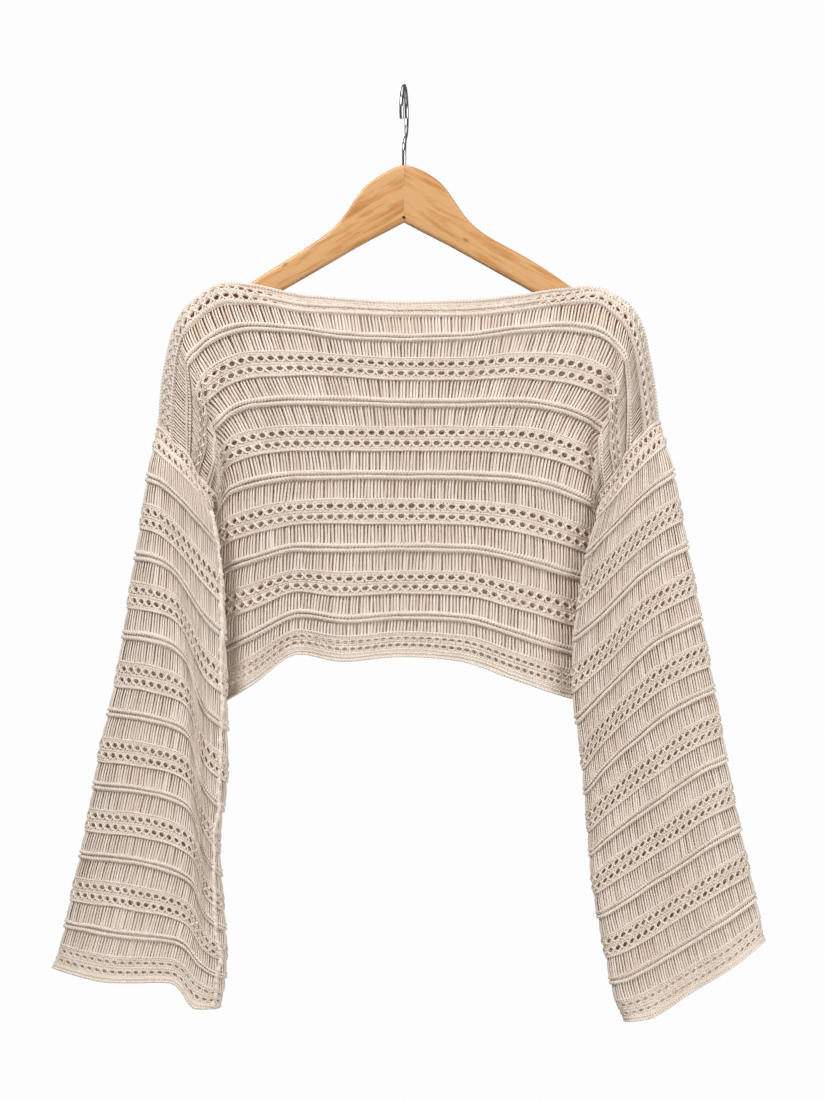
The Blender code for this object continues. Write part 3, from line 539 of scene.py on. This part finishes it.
def layEyelets(knit, form, down, gauge, openness=None, tall=7.0):
    # a row of eyelets with yarns crossed between them
    length = bandLength(form, down)
    count = int(length / gauge["eyelet"])
    if form["hidden"]:
        # the back has one eyelet more than the front, so that their holes seldom line up
        count = int(bandLength(form["facing"], down) / gauge["eyelet"]) + 1
    wide = 1 / count
    centre = (np.arange(count) + 0.5) * wide
    openWide, openTall = (np.ones(count), np.ones(count)) if openness is None else openness(centre)
    behind = centre > 0.5 if form["closed"] else np.full(count, form["hidden"])
    shut = np.where(behind, 0.48, 1.0)
    if form["hidden"]:
        # closed towards the side seams
        shut = shut * np.clip(np.minimum(centre, 1 - centre) / 0.08, 0.3, 1)
    sizeWide = rng.uniform(0.88, 1.08, count) * openWide * shut
    sizeTall = rng.uniform(0.86, 1.12, count) * openTall * shut
    c, s = np.cos(eyeletAngle), np.sin(eyeletAngle)
    square = np.maximum(np.abs(c), np.abs(s))
    cornerX, cornerY = np.round(c / square, 3), np.round(s / square, 3)
    radiusX, radiusY = gauge["holeWide"] / 2 / (length * wide), gauge["holeTall"] / 2
    grow = np.array([0.97, 1.0, 1.28, 1.0])[eyeletRing]  # inner edge, rim, lip, square
    outer = eyeletRing == 3
    x = np.where(outer[None], 0.5 * cornerX[None], c[None] * radiusX * grow[None] * sizeWide[:, None])
    y = np.where(outer[None], tall / 2 * cornerY[None], s[None] * radiusY * grow[None] * sizeTall[:, None])
    x = np.where(outer[None], x, np.clip(x, -0.46, 0.46))
    lift = np.array([-1.5, 0.0, 0.7, -0.5])[eyeletRing]
    sunk = np.where(openTall > 0.4, 0.0, gauge["sunk"])[:, None]
    drift = wander(count, 0.25, 5)
    tilt = gauge["slant"] * np.clip(np.abs(y) / 2, 0, 1) * np.sign(y) * ~outer[None] / (length * wide)
    share = centre[:, None] + (x + tilt) * wide
    v = down + y + np.where(outer[None], 0, drift[:, None] * 0.5)
    h = lift[None] - sunk + rng.normal(0, 0.08, (count, 1))
    toneAndShade = rng.uniform(0.3, 0.6, count)[:, None]
    lay(knit, share, v, h, eyeletFaces, np.stack([c, s], axis=1) * 0.3, toneAndShade)
    if not gauge["leg"]:
        return
    points, faces = legModel
    t = points[:, 2]
    reach = gauge["holeWide"] * 0.44 / length
    leg = gauge["leg"]
    keep = (openTall > 0.5) & ((np.arange(count) > 0) | form["closed"])
    for lean, height in ((1, 0.95), (-1, 0.6)):  # one yarn crosses over the other
        middle = (np.arange(count) / count)[:, None] + lean * reach * (2 * t - 1)[None]
        share = middle + points[:, 0] * leg / 2 / length * 0.9
        v = down + (2 * t - 1) * tall * 0.42 - points[:, 0] * lean * leg * 0.35
        h = height + np.sin(t * math.pi) * 0.45 + points[:, 1] * leg / 2
        uv = np.stack([np.arctan2(points[:, 1], points[:, 0]) / (2 * math.pi), t * 0.7], axis=1)
        toneAndShade = rng.uniform(0.55, 0.95, count)[keep][:, None]
        lay(knit, share[keep], v[None], h[None], faces, uv, toneAndShade)


def layRidge(knit, form, at, gauge):
    # a plain strip under two ropes, twisted against each other
    layStrip(knit, form, at - 4.4, at + 4.4, -1.0, gauge)
    layRope(knit, form, at - 2.3, gauge["ridgeUp"], gauge)
    layRope(knit, form, at + 2.3, gauge["ridgeUp"] + 0.1, gauge, twist=-1)


def layNet(knit, form, at, gauge, holes):
    # a strip and a thin rope, then two rows of eyelets with a strip between them
    layStrip(knit, form, at - 9.6, at - 7.4, 0.5, gauge)
    layRope(knit, form, at - 10.1, 0.1, gauge, 0.58)
    layEyelets(knit, form, at - 4.5, holes)
    layStrip(knit, form, at - 1.05, at + 1.05, 0.3, gauge)
    layEyelets(knit, form, at + 4.5, holes)


def layNetFoot(knit, form, at, up, gauge):
    # the strip and thin rope that end a net
    layStrip(knit, form, at + 7.4, at + 9.6, 0.5, gauge)
    layRope(knit, form, at + 10.1, up, gauge, 0.58, twist=-1)


def layBetween(knit, form, bands, gauge):
    # bare yarns wherever no band of rows lies
    bands.sort()
    for above, below in zip(bands[:-1], bands[1:]):
        if below[0] - above[1] > 3:
            layStrands(knit, form, above[1], below[0], gauge)


def knitObject(knit, form, name, material):
    # drape the flat knit and make it one piece
    share, down, up = (np.concatenate(knit[key]) for key in ("share", "down", "up"))
    points = drape(form, share, down, up)
    faces = np.concatenate(knit["faces"])
    if form["flip"]:
        faces = faces[:, ::-1]
    mesh = bpy.data.meshes.new(name)
    mesh.from_pydata(points.tolist(), [], faces.tolist())
    mesh.update()
    uv = np.concatenate(knit["uv"])
    layer = mesh.uv_layers.new(name="yarn")
    corner = np.empty(len(mesh.loops), int)
    mesh.loops.foreach_get("vertex_index", corner)
    layer.data.foreach_set("uv", uv[corner].reshape(-1))
    # per point: random tone of the yarn, and painted shade in the hollows of ropes and plain rows
    toneAndShade = mesh.attributes.new("toneAndShade", "FLOAT", "POINT")
    toneAndShade.data.foreach_set("value", np.concatenate(knit["toneAndShade"]))
    mesh.polygons.foreach_set("use_smooth", np.ones(len(mesh.polygons), bool))
    mesh.materials.append(material)
    piece = bpy.data.objects.new(name, mesh)
    bpy.context.scene.collection.objects.link(piece)
    print(name, sum(len(p.vertices) - 2 for p in mesh.polygons), "triangles")
    return piece


# materials
def addNode(material, kind, settings, links=()):
    # a node with its settings, then (from node, output, input) links into it
    tree = material.node_tree
    node = tree.nodes.new(kind)
    for key, value in settings.items():
        if isinstance(key, int) or key in node.inputs:
            node.inputs[key].default_value = value
        else:
            setattr(node, key, value)
    for source, output, target in links:
        tree.links.new(source.outputs[output], node.inputs[target])
    return node


def newMaterial(name, settings):
    material = bpy.data.materials.new(name)
    material.use_nodes = True
    shader = material.node_tree.nodes["Principled BSDF"]
    for key, value in settings.items():
        shader.inputs[key].default_value = value
    return material, shader


def perMetre(sizes):
    # pattern scales from sizes in mm, for coordinates in metres
    return [1 / (size * mm) for size in sizes]


def cottonYarn():
    # cotton yarn, softly plied: even and pale, with a faint nap and hardly any shine
    plyTurn = 1.047  # mm of yarn to one turn of a ply
    napSize, cloudSize = 0.714, 22.22  # mm; real fibres are finer than the render shows
    material, shader = newMaterial("mercerisedCotton", {
        "Roughness": 0.78,
        "Sheen Weight": 0.25,
        "Sheen Roughness": 0.5,
        "Specular IOR Level": 0.3,
    })
    links = material.node_tree.links
    uv = addNode(material, "ShaderNodeUVMap", {"uv_map": "yarn"})
    place = addNode(material, "ShaderNodeTexCoord", {})
    toneAndShade = addNode(material, "ShaderNodeAttribute", {"attribute_name": "toneAndShade"})
    # the yarn's map has 10 mm to a unit, and the wave repeats each tenth of two pi
    ply = addNode(material, "ShaderNodeMapping", {"Scale": (1.0, 2 * math.pi / plyTurn, 1.0)},
                  [(uv, "UV", "Vector")])
    twist = addNode(material, "ShaderNodeTexWave", {
        "wave_type": "BANDS",
        "bands_direction": "DIAGONAL",
        "Scale": 1.0,
        "Distortion": 0.6,
        "Detail": 1.0,
    }, [(ply, "Vector", "Vector")])
    napScale, cloudScale = perMetre((napSize, cloudSize))
    nap = addNode(material, "ShaderNodeTexNoise", {"Scale": napScale, "Detail": 3.0},
                  [(place, "Object", "Vector")])
    cloud = addNode(material, "ShaderNodeTexNoise", {"Scale": cloudScale, "Detail": 3.0},
                    [(place, "Object", "Vector")])
    height = addNode(material, "ShaderNodeMath", {"operation": "MULTIPLY_ADD", 1: 0.6},
                     [(nap, "Fac", 0), (twist, "Fac", 2)])
    bump = addNode(material, "ShaderNodeBump", {"Strength": 0.35, "Distance": 0.4 * mm},
                   [(height, "Value", "Height")])
    # the colour follows the tone attribute, with painted shade in the hollows of ropes and plain rows, plus a
    # soft cloud of random tone
    blend = addNode(material, "ShaderNodeMath", {"operation": "MULTIPLY_ADD", 1: 0.5},
                    [(cloud, "Fac", 0), (toneAndShade, "Fac", 2)])
    colour = addNode(material, "ShaderNodeValToRGB", {}, [(blend, "Value", "Fac")])
    ramp = colour.color_ramp
    ramp.elements[0].position, ramp.elements[0].color = 0.1, srgb("#e3c9b0")
    ramp.elements[1].position, ramp.elements[1].color = 1.1, srgb("#fdf0e3")
    links.new(colour.outputs["Color"], shader.inputs["Base Color"])
    links.new(bump.outputs["Normal"], shader.inputs["Normal"])
    return material


def beechWood(name, turn):
    # steamed beech, sanded and clear lacquered: honey brown, fine streaks along the arm, a low shine
    material, shader = newMaterial(name, {"Roughness": 0.4, "Coat Weight": 0.3, "Coat Roughness": 0.22})
    links = material.node_tree.links
    place = addNode(material, "ShaderNodeTexCoord", {})
    turned = addNode(material, "ShaderNodeMapping", {"Rotation": (0, turn, 0)}, [(place, "Object", "Vector")])
    patterns = {}
    for pattern, kind, sizes, settings in (  # sizes in mm: along the arm, front to back, across it
        ("board", "ShaderNodeTexNoise", (166.7, 23.81, 15.15), {"Detail": 2.0}),
        ("streak", "ShaderNodeTexNoise", (38.46, 5.494, 3.497), {"Detail": 5.0, "Distortion": 0.3}),
        ("pore", "ShaderNodeTexNoise", (7.69, 1.429, 1.0), {"Detail": 2.0}),
        ("knot", "ShaderNodeTexVoronoi", (45.45, 33.33, 22.73), {}),
    ):
        scaled = addNode(material, "ShaderNodeMapping", {"Scale": perMetre(sizes)},
                         [(turned, "Vector", "Vector")])
        patterns[pattern] = addNode(material, kind, {"Scale": 1.0, **settings},
                                    [(scaled, "Vector", "Vector")])
    fine = addNode(material, "ShaderNodeMath", {"operation": "MULTIPLY_ADD", 1: 0.22},
                   [(patterns["pore"], "Fac", 0), (patterns["streak"], "Fac", 2)])
    mixed = addNode(material, "ShaderNodeMath", {"operation": "MULTIPLY_ADD", 1: 0.7},
                    [(patterns["board"], "Fac", 0), (fine, "Value", 2)])
    colour = addNode(material, "ShaderNodeValToRGB", {}, [(mixed, "Value", "Fac")])
    ramp = colour.color_ramp
    ramp.elements[0].position, ramp.elements[0].color = 0.62, srgb("#bb7c44")
    ramp.elements[1].position, ramp.elements[1].color = 1.0, srgb("#e5b078")
    middle = ramp.elements.new(0.84)
    middle.color = srgb("#d6995b")
    # small dark knots
    dark = addNode(material, "ShaderNodeMapRange", {
        "From Min": 0.05,
        "From Max": 0.11,
        "To Min": 0.6,
        "To Max": 1.0,
    }, [(patterns["knot"], "Distance", "Value")])
    shade = addNode(material, "ShaderNodeMix", {"data_type": "RGBA", "blend_type": "MULTIPLY"})
    shade.inputs[0].default_value = 1.0
    links.new(colour.outputs["Color"], shade.inputs[6])
    links.new(dark.outputs["Result"], shade.inputs[7])
    bump = addNode(material, "ShaderNodeBump", {"Strength": 0.1, "Distance": 0.3 * mm},
                   [(fine, "Value", "Height")])
    links.new(shade.outputs[2], shader.inputs["Base Color"])
    links.new(bump.outputs["Normal"], shader.inputs["Normal"])
    return material


def drawnSteel():
    # steel wire, drawn and nickel plated: mirror bright, with a gleam that varies every few mm
    gleamSize = 3.333  # mm
    material, shader = newMaterial("nickelPlatedWire", {"Base Color": srgb("#c3c5c8"), "Metallic": 1.0})
    place = addNode(material, "ShaderNodeTexCoord", {})
    noise = addNode(material, "ShaderNodeTexNoise", {"Scale": 1 / (gleamSize * mm), "Detail": 3.0},
                    [(place, "Object", "Vector")])
    rough = addNode(material, "ShaderNodeMapRange", {"To Min": 0.08, "To Max": 0.26},
                    [(noise, "Fac", "Value")])
    material.node_tree.links.new(rough.outputs["Result"], shader.inputs["Roughness"])
    return material


cotton = cottonYarn()
steel = drawnSteel()
print("materials made")


# front and back; every size in mm
ridgeHalf = 4.5  # half height of a ridge and of a net of eyelets
netHalf = 11.0
bodyKnit = {
    # bare yarns: spacing, thickness, unevenness, how deep they start, how far they bulge
    "pitch": 2.97, "yarn": 2.15, "loose": 1.0, "tuck": -2.1, "belly": 0.5, "strand": strandModel,
    # ropes: thickness, how lumpy, height of a ridge's upper rope
    "rope": 3.5, "bead": 0.62, "ridgeUp": 0.6,
    # eyelets: spacing, hole, the yarns crossed between, slant, how deep the shut ones lie
    "eyelet": 8.9, "holeWide": 5.6, "holeTall": 4.1, "leg": 1.45, "slant": 0.0, "sunk": 1.1,
    # rows: down from the top edge
    "firstRidge": 38.5, "firstBand": 70.0, "repeat": 63.0,
    # the back hangs so that its eyelets lie between the front's, seen from the front
    "backDrop": (1.1, 2.3, 3.7, 5.2, -0.9),
}


def shutAtNeck(centre):
    # eyelets stretched open over the shoulders, closed to dashes along the middle third of the neck
    opened = np.clip((np.abs(centre - 0.5) - 0.17) / 0.06, 0, 1)
    return 0.9 + 0.1 * opened, 0.2 + 0.5 * opened


def knitPanel(name, left, right, side, facing=None):
    gauge = bodyKnit
    across = np.linspace(body["columns"][0], body["columns"][-1], body["grid"][0])
    down = np.linspace(0, body["length"], body["grid"][1])
    points = panelPoints(panelLines(left, right, side), across, down)
    form = makeForm(points, down, False, side, creases[name])
    form["flip"] = side > 0
    form["hidden"] = side > 0
    form["facing"] = facing
    knit = newKnit()
    bands = [(0.0, body["trim"])]
    ridges = [gauge["firstRidge"] + gauge["repeat"] * k for k in range(5)]
    drop = gauge["backDrop"] if side > 0 else (0.0,) * 5
    nets = [gauge["firstBand"] + gauge["repeat"] * k + drop[k] for k in range(4)]
    for at in ridges:
        bands.append((at - ridgeHalf, at + ridgeHalf))
        layRidge(knit, form, at, gauge)
    for at in nets:
        bands.append((at - netHalf, at + netHalf))
        layNet(knit, form, at, gauge, gauge)
        layNetFoot(knit, form, at, 0.1, gauge)
    # neck trim, in mm from the edge: rope and plain rows, then two eyelet rows with a rope between
    chain = dict(gauge, bead=0.75)
    layRope(knit, form, 1.5, 0.2, chain, 0.85)
    layStrip(knit, form, 1.5, 4.6, -0.4, gauge)
    layEyelets(knit, form, 6.7, gauge, openness=shutAtNeck, tall=5.0)
    layRope(knit, form, 9.6, 0.2, chain, 0.75, twist=-1)
    layEyelets(knit, form, 12.6, gauge, openness=shutAtNeck, tall=5.0)
    layStrip(knit, form, 14.8, 18.2, -0.3, gauge)
    layRope(knit, form, 16.0, 0.1, chain, 0.9, twist=-1)
    # hem, in mm from the neck: two rows of small eyelets, plain rows and the edge
    bands.append((306.0, body["length"]))
    layStrip(knit, form, 306, 309.8, 0.3, gauge)
    layRope(knit, form, 307.2, 0.2, gauge, 0.6)
    small = dict(gauge, eyelet=6.8, holeWide=4.9, holeTall=3.3, leg=0)
    layEyelets(knit, form, 312.8 + drop[4], small, tall=6.2)
    layEyelets(knit, form, 319.4 + drop[4], small, tall=6.2)
    layStrip(knit, form, 322.3 + drop[4], 326.4, 0.3, gauge)
    layStrip(knit, form, 326.4, 330.6, 0.1, gauge)
    if side < 0:  # raised rows that show only in front
        for at in (323.4, 326.6):
            layRope(knit, form, at, 0.1, chain, 0.52)
    layRope(knit, form, 329.8, 0.1, gauge, 0.7)
    layBetween(knit, form, bands, gauge)
    return knitObject(knit, form, name + "Knit", cotton), form


frontKnit, frontForm = knitPanel("front", "leftFront", "rightFront", -1)
backKnit = knitPanel("back", "leftBack", "rightBack", 1, facing=frontForm)[0]


# sleeves
sleeveKnit = {
    "pitch": 2.45, "yarn": 2.0, "loose": 0.6, "tuck": -1.4, "belly": 0.4, "strand": slimStrandModel,
    "rope": 3.3, "bead": 0.62, "ridgeUp": 0.1,
    "eyelet": 6.9, "holeWide": 4.3, "holeTall": 4.0, "leg": 1.2, "slant": 0.6, "sunk": 0.0,
    "firstRidge": 42.5, "firstBand": 74.0, "repeat": 63.0,
}


def knitSleeve(name, side, seamAt):
    gauge = sleeveKnit
    around = np.linspace(0, 1, sleeves["grid"][0] + 1)[:-1]
    down = np.linspace(0, sleeves["length"], sleeves["grid"][1])
    points = sleevePoints(name, around, down)
    form = makeForm(points, down, True, side, creases[name])
    form["flip"] = side > 0
    form["hidden"] = False
    knit = newKnit()
    laySeam(knit, form, seamAt, 21.0, sleeves["length"] - 0.5)
    # armhole, in mm from the seam: seam rope and two eyelet rows
    bands = [(0.0, 20.0)]
    layRope(knit, form, 1.2, 0.6, gauge, 0.9)
    layEyelets(knit, form, 6.0, gauge, tall=6.4)
    layStrip(knit, form, 9.2, 11.6, 0.3, gauge)
    layEyelets(knit, form, 14.8, gauge, tall=6.4)
    layStrip(knit, form, 17.8, 20.2, 0.3, gauge)
    for k in range(7):
        at = gauge["firstRidge"] + gauge["repeat"] * k
        bands.append((at - ridgeHalf, at + ridgeHalf))
        layRidge(knit, form, at, gauge)
    for k in range(6):
        at = gauge["firstBand"] + gauge["repeat"] * k
        bands.append((at - netHalf, at + netHalf))
        layNet(knit, form, at, gauge, gauge)
        layNetFoot(knit, form, at, 0.2, gauge)
    # cuff: the seventh net, higher and with smaller eyelets, then plain rows and the edge
    at = gauge["firstBand"] + gauge["repeat"] * 6
    bands.append((at - netHalf, sleeves["length"]))
    layNet(knit, form, at - 2.0, gauge, dict(gauge, holeWide=4.4, holeTall=3.0, leg=0))
    layStrip(knit, form, at + 5.4, at + 12.2, 0.5, gauge)
    layRope(knit, form, at + 12.0, 0.2, gauge, 0.75, twist=-1)
    layRope(knit, form, at + 8.4, 0.2, gauge, 0.55)
    layBetween(knit, form, bands, gauge)
    return knitObject(knit, form, name + "SleeveKnit", cotton)


leftSleeve = knitSleeve("left", -1, 0.464)
rightSleeve = knitSleeve("right", 1, 0.57)
print("knit draped")


# hanger
hanger = {
    "slope": math.radians(29.5),
    "joint": 0.4,  # how near the middle the glued faces lie
    "wire": 2.0,  # radii, in mm as all sizes here
    "loop": 23.5,
    "turn": math.radians(5.5),
    "woodTop": -69.0,
    "screwAt": (0.0, -6.3, -117.0),
    "screwHead": 1.3,
    "screwDepth": 0.8,
}
for side, turn in (("left", hanger["slope"]), ("right", -hanger["slope"])):
    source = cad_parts["hanger_%s_arm" % side]
    deselect()
    arm = source.copy()
    arm.data = source.data.copy()
    arm.name = side + "Arm"
    arm.parent = None
    for key in list(arm.keys()):
        if key.startswith("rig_"):
            del arm[key]
    bpy.context.scene.collection.objects.link(arm)
    arm.hide_render = arm.hide_viewport = False
    bpy.context.view_layer.objects.active = arm
    arm.select_set(True)
    bpy.ops.object.mode_set(mode="EDIT")
    bpy.ops.mesh.select_all(action="SELECT")
    bpy.ops.mesh.remove_doubles(threshold=0.00001)
    bpy.ops.mesh.tris_convert_to_quads(face_threshold=math.radians(60), shape_threshold=math.radians(60))
    bpy.ops.mesh.normals_make_consistent(inside=False)
    bpy.ops.object.mode_set(mode="OBJECT")
    for point in arm.data.vertices:
        if abs(point.co.x) < hanger["joint"] * mm:
            point.co.x = math.copysign(0.01 * mm, point.co.x)  # the halves are glued
    bpy.ops.object.mode_set(mode="EDIT")
    mesh = bmesh.from_edit_mesh(arm.data)
    crease = mesh.edges.layers.float.new("crease_edge")
    for edge in mesh.edges:
        atJoint = all(abs(point.co.x) < hanger["joint"] * mm for point in edge.verts)
        edge[crease] = 1.0 if atJoint else 0.0
    bmesh.update_edit_mesh(arm.data)
    bpy.ops.object.mode_set(mode="OBJECT")
    sanded = arm.modifiers.new("sanded", "SUBSURF")
    sanded.levels = sanded.render_levels = 2
    bpy.ops.object.modifier_apply(modifier="sanded")
    bpy.ops.object.shade_smooth_by_angle(angle=math.radians(40))
    arm.data.materials.clear()
    arm.data.materials.append(beechWood("steamedBeech" + side.title(), turn))
    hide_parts("hanger_%s_arm" % side)
    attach(arm, "root")


def hookPiece():
    # wire bent round to rest on a rail, straight down into the wood
    middle = hanger["wire"] - hanger["loop"]
    first, last = -66, 204  # degrees from the back, over the top, to the tip
    start = math.radians(first)
    foot = (hanger["loop"] * math.cos(start), middle + hanger["loop"] * math.sin(start))
    # an easy curve from the straight stem into the loop
    bend = ((0, -57), (0, -50), (foot[0] + 6 * math.sin(start), foot[1] - 6 * math.cos(start)), foot)
    side = [(0, hanger["woodTop"] - 4), (0, -62)]  # (y, z) before the hook is turned
    for t in np.linspace(0, 1, 8)[:-1]:
        share = ((1 - t) ** 3, 3 * t * (1 - t) ** 2, 3 * t * t * (1 - t), t**3)
        side.append(tuple(sum(w * p[k] for w, p in zip(share, bend)) for k in (0, 1)))
    for degrees in range(first, last + 1, 6):
        angle = math.radians(degrees)
        side.append((hanger["loop"] * math.cos(angle), middle + hanger["loop"] * math.sin(angle)))
    path = [(math.sin(hanger["turn"]) * y, math.cos(hanger["turn"]) * y, z) for y, z in side]
    line = bpy.data.curves.new("wireHook", "CURVE")
    line.dimensions = "3D"
    line.bevel_depth = hanger["wire"] * mm
    line.bevel_resolution = 5
    line.use_fill_caps = True
    spline = line.splines.new("POLY")
    spline.points.add(len(path) - 1)
    for point, place in zip(spline.points, path):
        point.co = (place[0] * mm, place[1] * mm, place[2] * mm, 1)
    spline.use_smooth = True
    deselect()
    wire = bpy.data.objects.new("wireHook", line)
    bpy.context.scene.collection.objects.link(wire)
    bpy.context.view_layer.objects.active = wire
    wire.select_set(True)
    bpy.ops.object.convert(target="MESH")
    wire = bpy.context.object
    wire.data.materials.clear()
    wire.data.materials.append(steel)
    return wire


hook = hookPiece()
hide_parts("hook")
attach(hook, "root")

# the small screw under the joint
deselect()
bpy.ops.mesh.primitive_cylinder_add(vertices=20, radius=hanger["screwHead"] * mm,
                                    depth=hanger["screwDepth"] * mm,
                                    location=[v * mm for v in hanger["screwAt"]],
                                    rotation=(math.radians(90), 0, 0))
screw = bpy.context.object
screw.name = "armScrew"
bpy.ops.object.transform_apply(location=True, rotation=True, scale=True)
bpy.ops.object.mode_set(mode="EDIT")
bpy.ops.mesh.select_all(action="SELECT")
bpy.ops.mesh.bevel(offset=0.25 * mm, segments=2)
bpy.ops.object.mode_set(mode="OBJECT")
# steel, blackened by heat and oil: nearly black brown, with a dull gleam
blackened = {"Base Color": srgb("#3a2c22"), "Roughness": 0.5, "Metallic": 0.6}
screw.data.materials.append(newMaterial("blackenedScrew", blackened)[0])
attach(screw, "root")
print("hanger made")


# what each piece is
standsFor = {"front": frontKnit, "back": backKnit, "sleeve_left": leftSleeve, "sleeve_right": rightSleeve}
for nodeName, piece in standsFor.items():
    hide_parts(nodeName)
    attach(piece, "root")


# floor, light and camera
deselect()
bpy.ops.mesh.primitive_circle_add(vertices=96, radius=1.4, fill_type="NGON", location=(0, 0, -1.6))
floor = bpy.context.object
floor.name = "floor"
# matt wall paint, rolled on: pale and even, without a shine
paint = newMaterial("paleFloor", {"Base Color": srgb("#dedede"), "Roughness": 0.8})[0]
floor.data.materials.append(paint)

# soft boxes: place and size in metres, power in watts
studio = {
    "key": {"place": (-1.35, -1.75, 1.55), "size": 1.1, "power": 58},
    "fill": {"place": (1.9, -1.8, -0.3), "size": 1.8, "power": 38},
    "top": {"place": (0.1, -0.2, 1.7), "size": 1.6, "power": 12},
    "behind": {"place": (-0.7, 2.1, 0.7), "size": 1.8, "power": 30},
}
middle = Vector((0, 0, -0.42))  # of the sweater
for name, light in studio.items():
    data = bpy.data.lights.new(name, "AREA")
    data.size = light["size"]
    data.energy = light["power"]
    lamp = bpy.data.objects.new(name, data)
    bpy.context.scene.collection.objects.link(lamp)
    lamp.location = light["place"]
    aim = middle - Vector(light["place"])
    lamp.rotation_euler = aim.to_track_quat("-Z", "Y").to_euler()

# a white room: dim as a light, bright behind the sweater
world = bpy.data.worlds.new("studioWhite")
bpy.context.scene.world = world
world.use_nodes = True
nodes, links = world.node_tree.nodes, world.node_tree.links
back = nodes["Background"]
back.inputs["Color"].default_value = (1.0, 1.0, 1.0, 1)
back.inputs["Strength"].default_value = 0.13
seen = nodes.new("ShaderNodeBackground")
seen.inputs["Color"].default_value = srgb("#fdfdfe")
seen.inputs["Strength"].default_value = 1.0
ray = nodes.new("ShaderNodeLightPath")
pick = nodes.new("ShaderNodeMixShader")
links.new(ray.outputs["Is Camera Ray"], pick.inputs["Fac"])
links.new(back.outputs["Background"], pick.inputs[1])
links.new(seen.outputs["Background"], pick.inputs[2])
links.new(pick.outputs["Shader"], nodes["World Output"].inputs["Surface"])

# level and straight on, as in the photo
lens = bpy.data.cameras.new("photoView")
lens.lens = 80
lens.sensor_width = 36
lens.sensor_fit = "AUTO"
camera = bpy.data.objects.new("photoView", lens)
bpy.context.scene.collection.objects.link(camera)
camera.location = (0.00765, -2.2, -0.4156)
camera.rotation_euler = (math.radians(90), 0, 0)
bpy.context.scene.camera = camera
bpy.context.scene.view_settings.view_transform = "Standard"
print("light and camera set")
